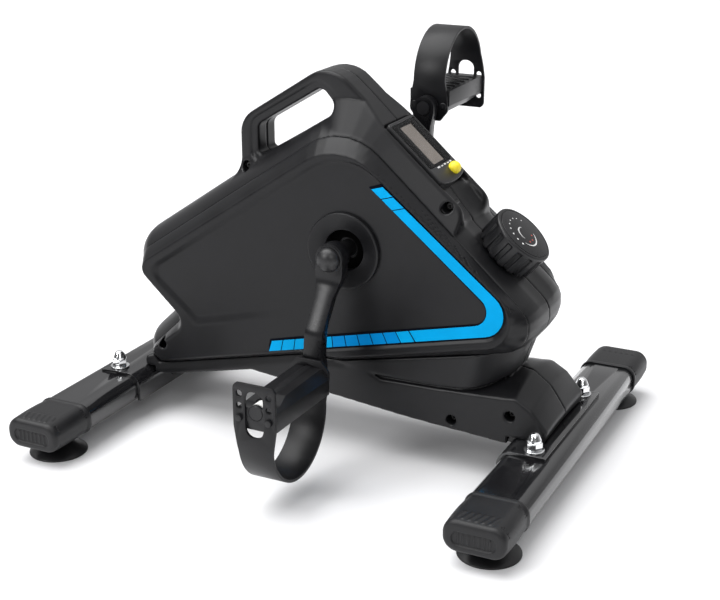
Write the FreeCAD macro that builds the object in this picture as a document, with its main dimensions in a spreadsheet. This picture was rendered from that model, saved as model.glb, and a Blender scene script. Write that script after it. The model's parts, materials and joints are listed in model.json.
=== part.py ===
import FreeCAD, Part
import math
import os
import Sketcher
from FreeCAD import Placement, Rotation, Vector

# Pedal exerciser. Millimetres, +Z up, +X towards the knob and display, left side at -Y.
# The origin is on the floor, midway between the two stabilisers and on the mid-plane.

doc = FreeCAD.newDocument("PedalExerciser")

DIMENSIONS = {
    # stabilisers, end caps and feet
    "stab_x": 200, "stab_width": 50, "stab_height": 25, "stab_z": 27.5, "stab_half": 178,
    "stab_wall": 1.5, "stab_round": 10, "cap_width": 54, "cap_height": 29, "cap_start": 143,
    "cap_end": 193, "cap_end_wall": 4, "cap_fit": 0.1, "cap_chamfer": 5, "foot_y": 158, "foot_radius": 25,
    "foot_neck": 9, "foot_stem": 4, "foot_top": 19, "bolt_y": 62.5, "bolt_radius": 4,
    "nut_radius": 7, "washer_radius": 8.5, "washer_thick": 1.6,
    # frame
    "saddle_half": 73, "saddle_thick": 3, "spine_half": 20, "spine_height": 18, "spine_wall": 1.8,
    "plate_out": 22, "plate_thick": 3, "bracket_radius": 21, "bracket_half": 27,
    # drive
    "hub_x": 26, "hub_z": 184, "axle_radius": 8.5, "axle_half": 80, "bearing_radius": 17.5,
    "bearing_width": 10, "shaft_gap": 0.05, "pulley_radius": 60, "pulley_in": 34, "pulley_width": 10,
    "wheel_x": 116, "wheel_z": 128, "wheel_radius": 46, "wheel_half": 7, "wheel_axle": 6, "wheel_bearing": 14,
    "small_pulley": 12.5, "belt_thick": 2, "belt_gap": 0.3,
    # cranks and pedals
    "crank_length": 91.7, "crank_angle": 3.8, "crank_in": 70, "crank_out": 92, "crank_thick": 10,
    "crank_width": 16, "crank_eye": 10, "crank_hub": 12, "spindle_radius": 4.5,
    "pedal_in": 106.5, "pedal_out": 192, "pedal_half_in": 19, "pedal_half_out": 17,
    "pedal_top": 14, "pedal_bottom": 8, "strap_thick": 2.5, "strap_half": 15,
    "strap_base_half": 18.5, "strap_plate_half": 18.5, "peg_radius": 2.6, "peg_x": 13, "peg_z": 4.5,
    # casing
    "wall": 3, "crown_y": 22, "cheek_y": 34, "seam_y": 40, "ridge_y": 55, "skirt_y": 48, "grip_y": 17,
    "slope_x": 43, "slope_z": 271, "slope_angle": 41.6, "hub_cover_radius": 32.5, "face_depth": 2,
    "stripe_thick": 0.8,
    # console and knob, measured along the front slope
    "console_s": 30.5, "console_length": 65, "console_half": 26, "console_top": 16.5,
    "console_floor": 3, "console_wall": 2, "lens_s": 22.5, "lens_length": 47, "lens_width": 34,
    "lens_thick": 1.5, "button_s": 55, "button_y": 9, "button_radius": 4.8, "knob_s": 135.5,
    "knob_base": 4.5, "knob_height": 23.5, "knob_radius": 26.5, "spindle_shaft": 5,
}

sheet = doc.addObject("Spreadsheet::Sheet", "Dims")
for row, (alias, value) in enumerate(DIMENSIONS.items(), start=1):
    sheet.set(f"A{row}", alias)
    sheet.set(f"B{row}", str(value))
    sheet.setAlias(f"B{row}", alias)
doc.recompute()


class Dim:
    """A number together with the sheet expression that it comes from."""

    def __init__(self, text, value):
        self.text = text
        self.value = value

    def combine(self, sign, other, result):
        return Dim(f"({self.text} {sign} {text_of(other)})", result)

    def __add__(self, other):
        return self.combine("+", other, self.value + number(other))

    def __sub__(self, other):
        return self.combine("-", other, self.value - number(other))

    def __mul__(self, other):
        return self.combine("*", other, self.value * number(other))

    def __truediv__(self, other):
        return self.combine("/", other, self.value / number(other))

    def __neg__(self):
        return Dim(f"(-1 * {self.text})", -self.value)

    def __float__(self):
        return float(self.value)


def number(quantity):
    return float(quantity.value) if isinstance(quantity, Dim) else float(quantity)


def text_of(quantity):
    return quantity.text if isinstance(quantity, Dim) else repr(float(quantity))


class SheetReader:
    def __getattr__(self, alias):
        return Dim(f"Dims.{alias}", float(sheet.get(alias)))


D = SheetReader()


def value_of(alias):
    return float(sheet.get(alias))


def bind(obj, prop, quantity):
    """Set a property and, where the quantity comes from the sheet, keep it bound."""
    if "." not in prop:
        setattr(obj, prop, number(quantity))
    if isinstance(quantity, Dim):
        obj.setExpression(prop, quantity.text)


# ---------------------------------------------------------------- helpers

PARTS = []


def node(obj, label=None):
    """Mark an object as a sub-part that gets a file of its own."""
    if label:
        obj.Label = label
    PARTS.append(obj)
    return obj


def new_body(label, keep=True):
    body = doc.addObject("PartDesign::Body", label)
    body.Label = label
    if keep:
        PARTS.append(body)
    return body


def place(obj, x=0.0, y=0.0, z=0.0, rotation=None):
    turn = rotation if rotation else Rotation()
    obj.Placement = Placement(Vector(number(x), number(y), number(z)), turn)
    for axis, quantity in (("x", x), ("y", y), ("z", z)):
        if isinstance(quantity, Dim):
            obj.setExpression(f"Placement.Base.{axis}", quantity.text)
    return obj


def origin_plane(body, role):
    return next(f for f in body.Origin.OriginFeatures if f.Role == role)


def new_sketch(body, role, offset=0.0):
    """A sketch on one of the body's own planes. XZ_Plane sketches face -Y."""
    sketch = body.newObject("Sketcher::SketchObject", f"{body.Name}_sketch")
    sketch.AttachmentSupport = [(origin_plane(body, role), "")]
    sketch.MapMode = "FlatFace"
    sketch.AttachmentOffset = Placement(Vector(0, 0, number(offset)), Rotation())
    if isinstance(offset, Dim):
        sketch.setExpression("AttachmentOffset.Base.z", offset.text)
    return sketch


def corner_arc(before, corner, after):
    """Tangent points and middle point of the arc that rounds a corner (x, y, radius)."""
    radius = corner[2]
    to_before = Vector(before[0] - corner[0], before[1] - corner[1], 0)
    to_after = Vector(after[0] - corner[0], after[1] - corner[1], 0)
    half = to_before.getAngle(to_after) / 2
    reach = radius / math.tan(half)
    to_before.normalize()
    to_after.normalize()
    at = Vector(corner[0], corner[1], 0)
    bisector = to_before + to_after
    bisector.normalize()
    middle = at + bisector * (radius / math.sin(half) - radius)
    return at + to_before * reach, middle, at + to_after * reach


def draw_outline(sketch, corners):
    """A closed outline of straight runs; corners are (x, y) or (x, y, radius)."""
    full = [tuple(c) if len(c) == 3 else (c[0], c[1], 0.0) for c in corners]
    count = len(full)
    ends = []
    for i, corner in enumerate(full):
        if corner[2] > 0:
            first, middle, last = corner_arc(full[i - 1], corner, full[(i + 1) % count])
            ends.append((first, middle, last))
        else:
            point = Vector(corner[0], corner[1], 0)
            ends.append((point, None, point))
    first_index = sketch.GeometryCount
    for i, (start, middle, end) in enumerate(ends):
        if middle is not None:
            sketch.addGeometry(Part.Arc(start, middle, end), False)
        following = ends[(i + 1) % count][0]
        if (following - end).Length > 1e-6:
            sketch.addGeometry(Part.LineSegment(end, following), False)
    link_ends(sketch, first_index)


def link_ends(sketch, first_index):
    """Join the neighbouring ends of an outline with coincident constraints."""
    last_index = sketch.GeometryCount - 1
    for i in range(first_index, last_index + 1):
        following = i + 1 if i < last_index else first_index
        tip = [sketch.getPoint(i, 1), sketch.getPoint(i, 2)]
        for mine in (1, 2):
            for other in (1, 2):
                gap = (tip[mine - 1] - sketch.getPoint(following, other)).Length
                if gap < 1e-6 and i != following:
                    sketch.addConstraint(Sketcher.Constraint("Coincident", i, mine, following, other))


def draw_circle(sketch, radius, x=0.0, y=0.0):
    index = sketch.addGeometry(Part.Circle(Vector(number(x), number(y), 0), Vector(0, 0, 1),
                                           number(radius)), False)
    dimension(sketch, "Radius", (index, number(radius)), radius)
    for kind, quantity in (("DistanceX", x), ("DistanceY", y)):
        if abs(number(quantity)) > 1e-9:
            dimension(sketch, kind, (-1, 1, index, 3, number(quantity)), quantity)
    return index


def dimension(sketch, kind, arguments, quantity):
    index = sketch.addConstraint(Sketcher.Constraint(kind, *arguments))
    if isinstance(quantity, Dim):
        sketch.setExpression(f"Constraints[{index}]", quantity.text)


def draw_box(sketch, width, height, x=0.0, y=0.0):
    """A rectangle about (x, y), its width and height bound to the sheet."""
    w, t = number(width) / 2, number(height) / 2
    cx, cy = number(x), number(y)
    points = [(cx - w, cy - t), (cx + w, cy - t), (cx + w, cy + t), (cx - w, cy + t)]
    first = sketch.GeometryCount
    for i in range(4):
        a, b = points[i], points[(i + 1) % 4]
        sketch.addGeometry(Part.LineSegment(Vector(a[0], a[1], 0), Vector(b[0], b[1], 0)), False)
    for i in range(4):
        sketch.addConstraint(Sketcher.Constraint("Coincident", first + i, 2, first + (i + 1) % 4, 1))
        kind = "Horizontal" if i % 2 == 0 else "Vertical"
        sketch.addConstraint(Sketcher.Constraint(kind, first + i))
    dimension(sketch, "DistanceX", (first, 1, first, 2, number(width)), width)
    dimension(sketch, "DistanceY", (first + 1, 1, first + 1, 2, number(height)), height)
    return first


def inset(corners, distance):
    """Move every side of an outline inwards; the corner radii shrink or grow with it."""
    full = [tuple(c) if len(c) == 3 else (c[0], c[1], 0.0) for c in corners]
    count = len(full)
    area = sum(full[i - 1][0] * full[i][1] - full[i][0] * full[i - 1][1] for i in range(count))
    side = 1.0 if area > 0 else -1.0
    moved = []
    for i in range(count):
        p, c, n = full[i - 1], full[i], full[(i + 1) % count]
        a = Vector(c[0] - p[0], c[1] - p[1], 0).normalize()
        b = Vector(n[0] - c[0], n[1] - c[1], 0).normalize()
        turn = side * (a.x * b.y - a.y * b.x)
        normal_a = Vector(-a.y, a.x, 0) * side
        normal_b = Vector(-b.y, b.x, 0) * side
        scale = distance / (1 + normal_a.dot(normal_b))
        x = c[0] + (normal_a.x + normal_b.x) * scale
        y = c[1] + (normal_a.y + normal_b.y) * scale
        radius = 0.0
        if c[2] > 0:
            radius = max(c[2] - distance, 1.0) if turn > 0 else c[2] + distance
        moved.append((x, y, radius))
    return moved


def pad(body, sketch, length, midplane=False, backwards=False, taper=0.0):
    feature = body.newObject("PartDesign::Pad", f"{body.Name}_pad")
    feature.Profile = sketch
    bind(feature, "Length", length)
    feature.Midplane = midplane
    feature.Reversed = backwards
    feature.TaperAngle = taper
    return feature


def cut(body, sketch, length=None, midplane=False, backwards=False):
    """A pocket. Without a length it goes through everything, both ways."""
    feature = body.newObject("PartDesign::Pocket", f"{body.Name}_pocket")
    feature.Profile = sketch
    if length is None:
        feature.Type = "ThroughAll"
        feature.Midplane = True
    else:
        bind(feature, "Length", length)
        feature.Midplane = midplane
        feature.Reversed = backwards
    return feature


def turn(body, sketch, axis="V_Axis"):
    feature = body.newObject("PartDesign::Revolution", f"{body.Name}_turned")
    feature.Profile = sketch
    feature.ReferenceAxis = (sketch, [axis])
    feature.Angle = 360
    return feature


def turned_groove(body, sketch, axis="V_Axis"):
    feature = body.newObject("PartDesign::Groove", f"{body.Name}_groove")
    feature.Profile = sketch
    feature.ReferenceAxis = (sketch, [axis])
    feature.Angle = 360
    return feature


def loft(body, sections, subtract=False):
    kind = "PartDesign::SubtractiveLoft" if subtract else "PartDesign::AdditiveLoft"
    feature = body.newObject(kind, f"{body.Name}_loft")
    feature.Profile = sections[0]
    feature.Sections = sections[1:]
    feature.Ruled = True
    return feature


def edges_where(feature, test):
    """Names of the edges of a feature whose middle point passes the test."""
    doc.recompute()
    names = []
    for i, edge in enumerate(feature.Shape.Edges, start=1):
        middle = edge.valueAt((edge.FirstParameter + edge.LastParameter) / 2)
        if test(middle, edge):
            names.append(f"Edge{i}")
    return names


def dress(body, feature, names, kind, size):
    """A fillet or chamfer on the named edges of a feature."""
    dressed = body.newObject(f"PartDesign::{kind}", f"{body.Name}_{kind.lower()}")
    dressed.Base = (feature, names)
    bind(dressed, "Radius" if kind == "Fillet" else "Size", size)
    return dressed


def on_slope(along, out):
    """A point (x, z) from its place along the front slope and its height over it."""
    angle = math.radians(value_of("slope_angle"))
    x = value_of("slope_x") + along * math.cos(angle) + out * math.sin(angle)
    z = value_of("slope_z") - along * math.sin(angle) + out * math.cos(angle)
    return x, z


def place_on_slope(obj, along, out, y=0.0):
    """Stand an object on the front slope, its own Z pointing out of the slope."""
    x, z = on_slope(number(along), number(out))
    return place(obj, x, y, z, Rotation(Vector(0, 1, 0), value_of("slope_angle")))


def mirror(label, source):
    """The same piece for the other side of the mid-plane."""
    twin = doc.addObject("Part::Mirroring", label)
    twin.Label = label
    twin.Source = source
    twin.Base = Vector(0, 0, 0)
    twin.Normal = Vector(0, 1, 0)
    return twin


def group(label, master, placements):
    """Several equal loose pieces in one node."""
    links = []
    for place_of in placements:
        link = doc.addObject("App::Link", f"{label}_item")
        link.LinkedObject = master
        link.Placement = place_of
        links.append(link)
    bundle = doc.addObject("Part::Compound", label)
    bundle.Label = label
    bundle.Links = links
    return node(bundle)


# ---------------------------------------------------------------- stabilisers

SIDES = {"left": -1, "right": 1}
ENDS = {"front": 1, "rear": -1}


def tube_outline(width, height, radius):
    w, t = width / 2, height / 2
    return [(-w, -t, radius), (w, -t, radius), (w, t, radius), (-w, t, radius)]


def make_stabilizer(end, sign):
    body = new_body(f"{end}_stabilizer")
    sketch = new_sketch(body, "XZ_Plane")
    outer = tube_outline(value_of("stab_width"), value_of("stab_height"), value_of("stab_round"))
    draw_outline(sketch, outer)
    draw_outline(sketch, inset(outer, value_of("stab_wall")))
    pad(body, sketch, D.stab_half * 2, midplane=True)
    holes = new_sketch(body, "XY_Plane")
    for y in (-D.bolt_y, D.bolt_y):
        draw_circle(holes, D.bolt_radius + 0.2, 0, y)
    cut(body, holes)
    stems = new_sketch(body, "XY_Plane", -D.stab_height / 2 + D.stab_wall / 2)
    for y in (-D.foot_y, D.foot_y):
        draw_circle(stems, D.foot_stem + 0.2, 0, y)
    cut(body, stems, D.stab_wall * 2, midplane=True)
    place(body, D.stab_x * sign, 0, D.stab_z)


def make_end_cap(end, end_sign, side, side_sign):
    """A moulded sleeve over the tube's end, ribbed on top, with a sloping nose."""
    body = new_body(f"{end}_{side}_end_cap")
    width, height = value_of("cap_width"), value_of("cap_height")
    length = D.cap_end - D.cap_start
    sketch = new_sketch(body, "XZ_Plane")
    draw_outline(sketch, tube_outline(width, height, value_of("stab_round") + 2))
    sleeve = pad(body, sketch, length)
    far_end = -number(length)
    rim = edges_where(sleeve, lambda p, e: abs(p.y - far_end) < 0.01)
    dress(body, sleeve, rim, "Chamfer", D.cap_chamfer)
    hollow = new_sketch(body, "XZ_Plane")
    grown = inset(tube_outline(value_of("stab_width"), value_of("stab_height"),
                               value_of("stab_round")), -value_of("cap_fit"))
    draw_outline(hollow, grown)
    cut(body, hollow, length - D.cap_end_wall, backwards=True)
    badge = new_sketch(body, "XZ_Plane", length - 1.2)
    draw_outline(badge, tube_outline(width * 0.66, height * 0.48, 6))
    cut(body, badge, 5, backwards=True)
    ribs = new_sketch(body, "XY_Plane", D.cap_height / 2 - 0.8)
    for i in range(6):
        y = -26 - 3.6 * i
        draw_outline(ribs, [(-17, y - 0.9), (17, y - 0.9), (17, y + 0.9), (-17, y + 0.9)])
    cut(body, ribs, 5, backwards=True)
    stem = new_sketch(body, "XY_Plane", -D.cap_height / 2 + 1)
    draw_circle(stem, D.foot_stem + 0.1, 0, D.cap_start - D.foot_y)
    cut(body, stem, 6, midplane=True)
    turned = Rotation(Vector(0, 0, 1), 0 if side_sign < 0 else 180)
    place(body, D.stab_x * end_sign, D.cap_start * side_sign, D.stab_z, turned)


def make_feet():
    """Soft suction feet, each with a barbed stem pushed through a cap and its tube."""
    body = new_body("suction_foot_master", keep=False)
    sketch = new_sketch(body, "XZ_Plane")
    rim, neck, stem = value_of("foot_radius"), value_of("foot_neck"), value_of("foot_stem")
    top, under_cap = value_of("foot_top"), value_of("stab_z") - value_of("cap_height") / 2
    profile = [(0, 3.2), (10, 3.0), (rim - 3.5, 0), (rim, 0), (rim, 1.2), (rim - 7, 5.2), (neck + 2, 9.5),
               (neck, under_cap), (stem, under_cap), (stem, top - 2), (stem - 1, top), (0, top)]
    draw_outline(sketch, profile)
    turn(body, sketch)
    x, y = value_of("stab_x"), value_of("foot_y")
    spots = [Placement(Vector(x * sx, y * sy, 0), Rotation()) for sx in (-1, 1) for sy in (-1, 1)]
    group("suction_feet", body, spots)


def make_saddle(end, sign):
    """The bent plate over a stabiliser, welded to the end of the frame's spine."""
    body = new_body(f"{end}_saddle")
    half, top = value_of("stab_width") / 2, value_of("stab_z") + value_of("stab_height") / 2
    thick, bend = value_of("saddle_thick"), value_of("stab_round")
    sketch = new_sketch(body, "XZ_Plane")
    draw_outline(sketch, [(-half, 18), (-half, top, bend), (13, top), (13, top + thick),
                          (-half - thick, top + thick, bend + thick), (-half - thick, 18)])
    pad(body, sketch, D.saddle_half * 2, midplane=True)
    holes = new_sketch(body, "XY_Plane")
    for y in (-D.bolt_y, D.bolt_y):
        draw_circle(holes, D.bolt_radius + 0.2, 0, y)
    cut(body, holes)
    turned = Rotation(Vector(0, 0, 1), 0 if sign > 0 else 180)
    place(body, D.stab_x * sign, 0, 0, turned)


def make_fasteners():
    """Carriage bolts up through the tube and saddle, with washers and domed nuts."""
    top = D.stab_z + D.stab_height / 2 + D.saddle_thick
    bottom = D.stab_z - D.stab_height / 2
    x, y = value_of("stab_x"), value_of("bolt_y")
    spots = [Placement(Vector(x * sx, y * sy, 0), Rotation()) for sx in (-1, 1) for sy in (-1, 1)]

    bolt = new_body("carriage_bolt_master", keep=False)
    sketch = new_sketch(bolt, "XZ_Plane")
    reach = number(top) + number(D.washer_thick) + 8
    under = number(bottom)
    draw_outline(sketch, [(0, under - 3.5), (6, under - 2.8), (9.5, under), (3.9, under), (3.9, reach),
                          (0, reach)])
    turn(bolt, sketch)
    group("carriage_bolts", bolt, spots)

    washer = new_body("washer_master", keep=False)
    sketch = new_sketch(washer, "XY_Plane", top)
    draw_circle(sketch, D.washer_radius)
    draw_circle(sketch, D.bolt_radius + 0.2)
    pad(washer, sketch, D.washer_thick)
    group("flat_washers", washer, spots)

    nut = new_body("acorn_nut_master", keep=False)
    seat = top + D.washer_thick
    sketch = new_sketch(nut, "XY_Plane", seat)
    radius = value_of("nut_radius")
    hexagon = [(radius * math.cos(math.radians(60 * i)), radius * math.sin(math.radians(60 * i)))
               for i in range(6)]
    draw_outline(sketch, hexagon)
    pad(nut, sketch, 6.5)
    dome = new_sketch(nut, "XZ_Plane")
    base = number(seat) + 6.4
    draw_outline(dome, [(0, base), (5.8, base), (5.8, base + 2, 0.8), (3.5, base + 7, 3), (0, base + 8)])
    turn(nut, dome)
    bore = new_sketch(nut, "XY_Plane", seat)
    draw_circle(bore, D.bolt_radius)
    cut(nut, bore, 10.5, backwards=True)
    group("acorn_nuts", nut, spots)


# ---------------------------------------------------------------- frame

SPINE = [(-172, 33), (-75, 68), (172, 33)]
PIVOT = (147, 84)              # magnet bracket pivot (x, z)
CABLE_END = Vector(154.5, 0, 167)     # where the brake cable meets the bracket's tab
CABLE_Y = 7.5


def spine_band(half_height):
    """The bent spine's side view: its centre line with a height above and below."""
    (x0, z0), (x1, z1), (x2, z2) = SPINE
    t = half_height
    return [(x0, z0 - t), (x1, z1 - t, 30), (x2, z2 - t), (x2, z2 + t), (x1, z1 + t, 30), (x0, z0 + t)]


def make_main_frame():
    """Box-section spine, two carrier plates and the crank bearing tube, welded together."""
    body = new_body("main_frame")
    spine = new_sketch(body, "XZ_Plane")
    draw_outline(spine, spine_band(value_of("spine_height") / 2))
    pad(body, spine, D.spine_half * 2, midplane=True)
    core = new_sketch(body, "XZ_Plane")
    (x0, _), (x1, z1), (x2, _) = SPINE
    inner = value_of("spine_height") / 2 - value_of("spine_wall")
    rise_rear = (z1 - SPINE[0][1]) / (x1 - x0)
    rise_front = (SPINE[2][1] - z1) / (x2 - x1)
    left, right = x0 + 4, x2 - 4
    z_left, z_right = z1 + rise_rear * (left - x1), z1 + rise_front * (right - x1)
    draw_outline(core, [(left, z_left - inner), (x1, z1 - inner, 30), (right, z_right - inner),
                        (right, z_right + inner), (x1, z1 + inner, 30), (left, z_left + inner)])
    cut(body, core, (D.spine_half - D.spine_wall) * 2, midplane=True)
    hub_x, hub_z = value_of("hub_x"), value_of("hub_z")
    wheel_x, wheel_z = value_of("wheel_x"), value_of("wheel_z")
    for sign in (-1, 1):
        start = D.plate_out - D.plate_thick if sign < 0 else -D.plate_out
        plate = new_sketch(body, "XZ_Plane", start)
        draw_outline(plate, [(-30, 52, 4), (hub_x - 23, hub_z - 14, 20), (hub_x - 23, hub_z + 24, 20),
                             (hub_x + 22, hub_z + 24, 20), (wheel_x + 22, wheel_z + 20, 22),
                             (wheel_x + 26, 108, 18), (161, 98, 9), (158, 72, 9), (140, 38, 4)])
        draw_outline(plate, [(0, 76, 8), (hub_x - 6, hub_z - 36, 8), (wheel_x - 32, wheel_z - 4, 8),
                             (104, 98, 8), (118, 58, 8)])
        pad(body, plate, D.plate_thick)
    tube = new_sketch(body, "XZ_Plane")
    draw_circle(tube, D.bracket_radius, D.hub_x, D.hub_z)
    pad(body, tube, D.bracket_half * 2, midplane=True)
    bore = new_sketch(body, "XZ_Plane")
    draw_circle(bore, D.bearing_radius, D.hub_x, D.hub_z)
    cut(body, bore)
    for sign in (-1, 1):
        start = D.plate_out - 4 if sign < 0 else -D.plate_out - 6
        seat = new_sketch(body, "XZ_Plane", start)
        draw_circle(seat, D.wheel_bearing + 3, D.wheel_x, D.wheel_z)
        pad(body, seat, 10)
    seats = new_sketch(body, "XZ_Plane")
    draw_circle(seats, D.wheel_bearing, D.wheel_x, D.wheel_z)
    cut(body, seats)
    pin = new_sketch(body, "XZ_Plane")
    draw_circle(pin, 3.0, PIVOT[0], PIVOT[1])
    cut(body, pin)


def bearing(body_label, radius, shaft, width, placements):
    """A sealed ball bearing drawn as one ring with its two shield grooves."""
    master = new_body(f"{body_label}_master", keep=False)
    bore = shaft + value_of("shaft_gap")
    sketch = new_sketch(master, "XZ_Plane")
    draw_circle(sketch, radius)
    draw_circle(sketch, bore)
    pad(master, sketch, width, midplane=True)
    for offset in (width / 2 - 0.6, -width / 2):
        groove = new_sketch(master, "XZ_Plane", offset)
        draw_circle(groove, bore + (radius - bore) * 0.72)
        draw_circle(groove, bore + (radius - bore) * 0.30)
        cut(master, groove, 0.6, backwards=True)
    group(body_label, master, placements)


def axle_placements(x, z, offset):
    return [Placement(Vector(x, sign * offset, z), Rotation()) for sign in (-1, 1)]


# ---------------------------------------------------------------- drive



def make_crank_axle():
    body = new_body("crank_axle")
    sketch = new_sketch(body, "XZ_Plane")
    draw_circle(sketch, D.axle_radius)
    pad(body, sketch, D.bracket_half * 2 + 12, midplane=True)
    ends = new_sketch(body, "XZ_Plane")
    draw_circle(ends, D.axle_radius - 1)
    pad(body, ends, D.axle_half * 2, midplane=True)
    place(body, D.hub_x, 0, D.hub_z)


def make_drive_pulley():
    """Spoked belt pulley on the crank axle, with a V-ribbed rim."""
    body = new_body("drive_pulley")
    sketch = new_sketch(body, "XZ_Plane", D.pulley_in)
    draw_circle(sketch, D.pulley_radius)
    draw_circle(sketch, D.axle_radius - 1)
    pad(body, sketch, D.pulley_width)
    for start, backwards in ((D.pulley_in, True), (D.pulley_in + D.pulley_width, False)):
        dish = new_sketch(body, "XZ_Plane", start)
        draw_circle(dish, D.pulley_radius - 6)
        draw_circle(dish, 15)
        cut(body, dish, D.pulley_width * 0.33, backwards=backwards)
    web = new_sketch(body, "XZ_Plane")
    for i in range(6):
        angle = math.radians(60 * i)
        draw_circle(web, 10.5, 36 * math.cos(angle), 36 * math.sin(angle))
    cut(body, web)
    grooves = new_sketch(body, "YZ_Plane")
    for i in range(4):
        y = -value_of("pulley_in") - 2 - 2 * i
        r = value_of("pulley_radius")
        draw_outline(grooves, [(y - 0.8, r + 0.5), (y, r - 1.2), (y + 0.8, r + 0.5)])
    turned_groove(body, grooves, "H_Axis")
    place(body, D.hub_x, 0, D.hub_z)


def make_flywheel():
    body = new_body("flywheel")
    sketch = new_sketch(body, "YZ_Plane")
    rim, half = value_of("wheel_radius"), value_of("wheel_half")
    axle = value_of("wheel_axle")
    draw_outline(sketch, [(-half, rim, 1), (half, rim, 1), (half, rim - 9, 2), (half - 4, rim - 11, 2),
                          (half - 4, 17, 2), (half, 14, 2), (half, axle), (-half, axle), (-half, 14, 2),
                          (4 - half, 17, 2), (4 - half, rim - 11, 2), (-half, rim - 9, 2)])
    turn(body, sketch, "H_Axis")
    place(body, D.wheel_x, 0, D.wheel_z)


def make_flywheel_axle():
    body = new_body("flywheel_axle")
    sketch = new_sketch(body, "XZ_Plane", -30)
    draw_circle(sketch, D.wheel_axle)
    pad(body, sketch, D.pulley_in + D.pulley_width + 31)
    place(body, D.wheel_x, 0, D.wheel_z)


def make_flywheel_pulley():
    body = new_body("flywheel_pulley")
    inner, outer = value_of("pulley_in") - 2, value_of("pulley_in") + value_of("pulley_width")
    r, axle = value_of("small_pulley"), value_of("wheel_axle")
    sketch = new_sketch(body, "YZ_Plane")
    draw_outline(sketch, [(-inner, axle), (-inner, r + 3), (-inner - 1.5, r + 3), (-inner - 2, r),
                          (-outer, r), (-outer, axle)])
    turn(body, sketch, "H_Axis")
    place(body, D.wheel_x, 0, D.wheel_z)


def belt_outline(extra):
    """Open-belt loop round both pulleys, as two arcs and two tangent runs."""
    big, small = value_of("pulley_radius") + extra, value_of("small_pulley") + extra
    dx = value_of("wheel_x") - value_of("hub_x")
    dz = value_of("wheel_z") - value_of("hub_z")
    length = math.hypot(dx, dz)
    along = Vector(dx / length, dz / length, 0)
    across = Vector(-along.y, along.x, 0)
    lean = (big - small) / length
    rise = math.sqrt(1 - lean * lean)
    hub = Vector(value_of("hub_x"), value_of("hub_z"), 0)
    wheel = Vector(value_of("wheel_x"), value_of("wheel_z"), 0)
    up, down = along * lean + across * rise, along * lean - across * rise
    return [Part.LineSegment(hub + up * big, wheel + up * small),
            Part.Arc(wheel + up * small, wheel + along * small, wheel + down * small),
            Part.LineSegment(wheel + down * small, hub + down * big),
            Part.Arc(hub + down * big, hub - along * big, hub + up * big)]


def make_drive_belt():
    body = new_body("drive_belt")
    gap, thick = value_of("belt_gap"), value_of("belt_thick")
    sketch = new_sketch(body, "XZ_Plane", D.pulley_in + 1)
    for extra in (gap, gap + thick):
        first = sketch.GeometryCount
        for curve in belt_outline(extra):
            sketch.addGeometry(curve, False)
        link_ends(sketch, first)
    pad(body, sketch, D.pulley_width - 2)


def arc_band(inner, outer, start, end):
    """Corners of a curved band about the flywheel's centre, in steps along its arc."""
    cx, cz = value_of("wheel_x"), value_of("wheel_z")
    steps = 6
    angles = [start + (end - start) * i / steps for i in range(steps + 1)]
    ring = [(outer, a) for a in angles] + [(inner, a) for a in reversed(angles)]
    return [(cx + r * math.cos(math.radians(a)), cz + r * math.sin(math.radians(a))) for r, a in ring]


def cable_run():
    """From the bracket's tab to the groove of the knob's spool."""
    x, z = on_slope(value_of("knob_s"), value_of("knob_base") - 8.7)
    return Vector(x, 0, z) - CABLE_END


def tab_point(up, out):
    """A corner of the bracket's tab, which stands square to the cable."""
    away = -cable_run().normalize()
    return (CABLE_END.x + out * away.x - up * away.z, CABLE_END.z + out * away.z + up * away.x)


def make_magnet_bracket():
    """A channel that straddles the flywheel's rim and swings on the pivot pin."""
    body = new_body("magnet_bracket")
    web = new_sketch(body, "XZ_Plane")
    draw_outline(web, arc_band(54, 57, -30, 36))
    pad(body, web, 32, midplane=True)
    for start in (14, -16):
        flange = new_sketch(body, "XZ_Plane", start)
        draw_outline(flange, arc_band(34, 57, -30, 36))
        pad(body, flange, 2)
        ear = new_sketch(body, "XZ_Plane", start)
        cx, cz = value_of("wheel_x"), value_of("wheel_z")
        draw_outline(ear, [(PIVOT[0] - 6, PIVOT[1] - 5, 4), (PIVOT[0] + 7, PIVOT[1] - 6, 5),
                           (cx + 57 * math.cos(0.5), cz - 57 * math.sin(0.5)),
                           (cx + 40 * math.cos(0.5), cz - 40 * math.sin(0.5))])
        pad(body, ear, 2)
    pin = new_sketch(body, "XZ_Plane")
    draw_circle(pin, 3.05, PIVOT[0], PIVOT[1])
    cut(body, pin)
    tab = new_sketch(body, "XZ_Plane")
    root = arc_band(54, 57, -30, 36)
    draw_outline(tab, [tab_point(3.5, -1), tab_point(3.5, 1), tab_point(-2.9, 1), root[6], root[7],
                       tab_point(-5.2, 2.4), tab_point(-2.5, -1)])
    pad(body, tab, 20, midplane=True)
    slot = new_sketch(body, "XY_Plane", CABLE_END.z - 1.7)
    draw_box(slot, 10, 1.6, CABLE_END.x, CABLE_Y)
    cut(body, slot, 12, backwards=True)


def make_magnets():
    """Three block magnets on each inner side of the bracket."""
    master = new_body("magnet_master", keep=False)
    sketch = new_sketch(master, "XZ_Plane")
    draw_box(sketch, 12, 12)
    pad(master, sketch, 5, midplane=True)
    spots = []
    for angle in (-18, 3, 24):
        turned = Rotation(Vector(0, 1, 0), -angle)
        for side in (-1, 1):
            x = value_of("wheel_x") + 42 * math.cos(math.radians(angle))
            z = value_of("wheel_z") + 42 * math.sin(math.radians(angle))
            spots.append(Placement(Vector(x, 11.5 * side, z), turned))
    group("magnets", master, spots)


def make_pivot_pin():
    body = new_body("bracket_pin")
    sketch = new_sketch(body, "XZ_Plane")
    draw_circle(sketch, 3.0, PIVOT[0], PIVOT[1])
    pad(body, sketch, 50, midplane=True)
    head = new_sketch(body, "XZ_Plane", D.plate_out)
    draw_circle(head, 5.0, PIVOT[0], PIVOT[1])
    pad(body, head, 3)


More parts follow.
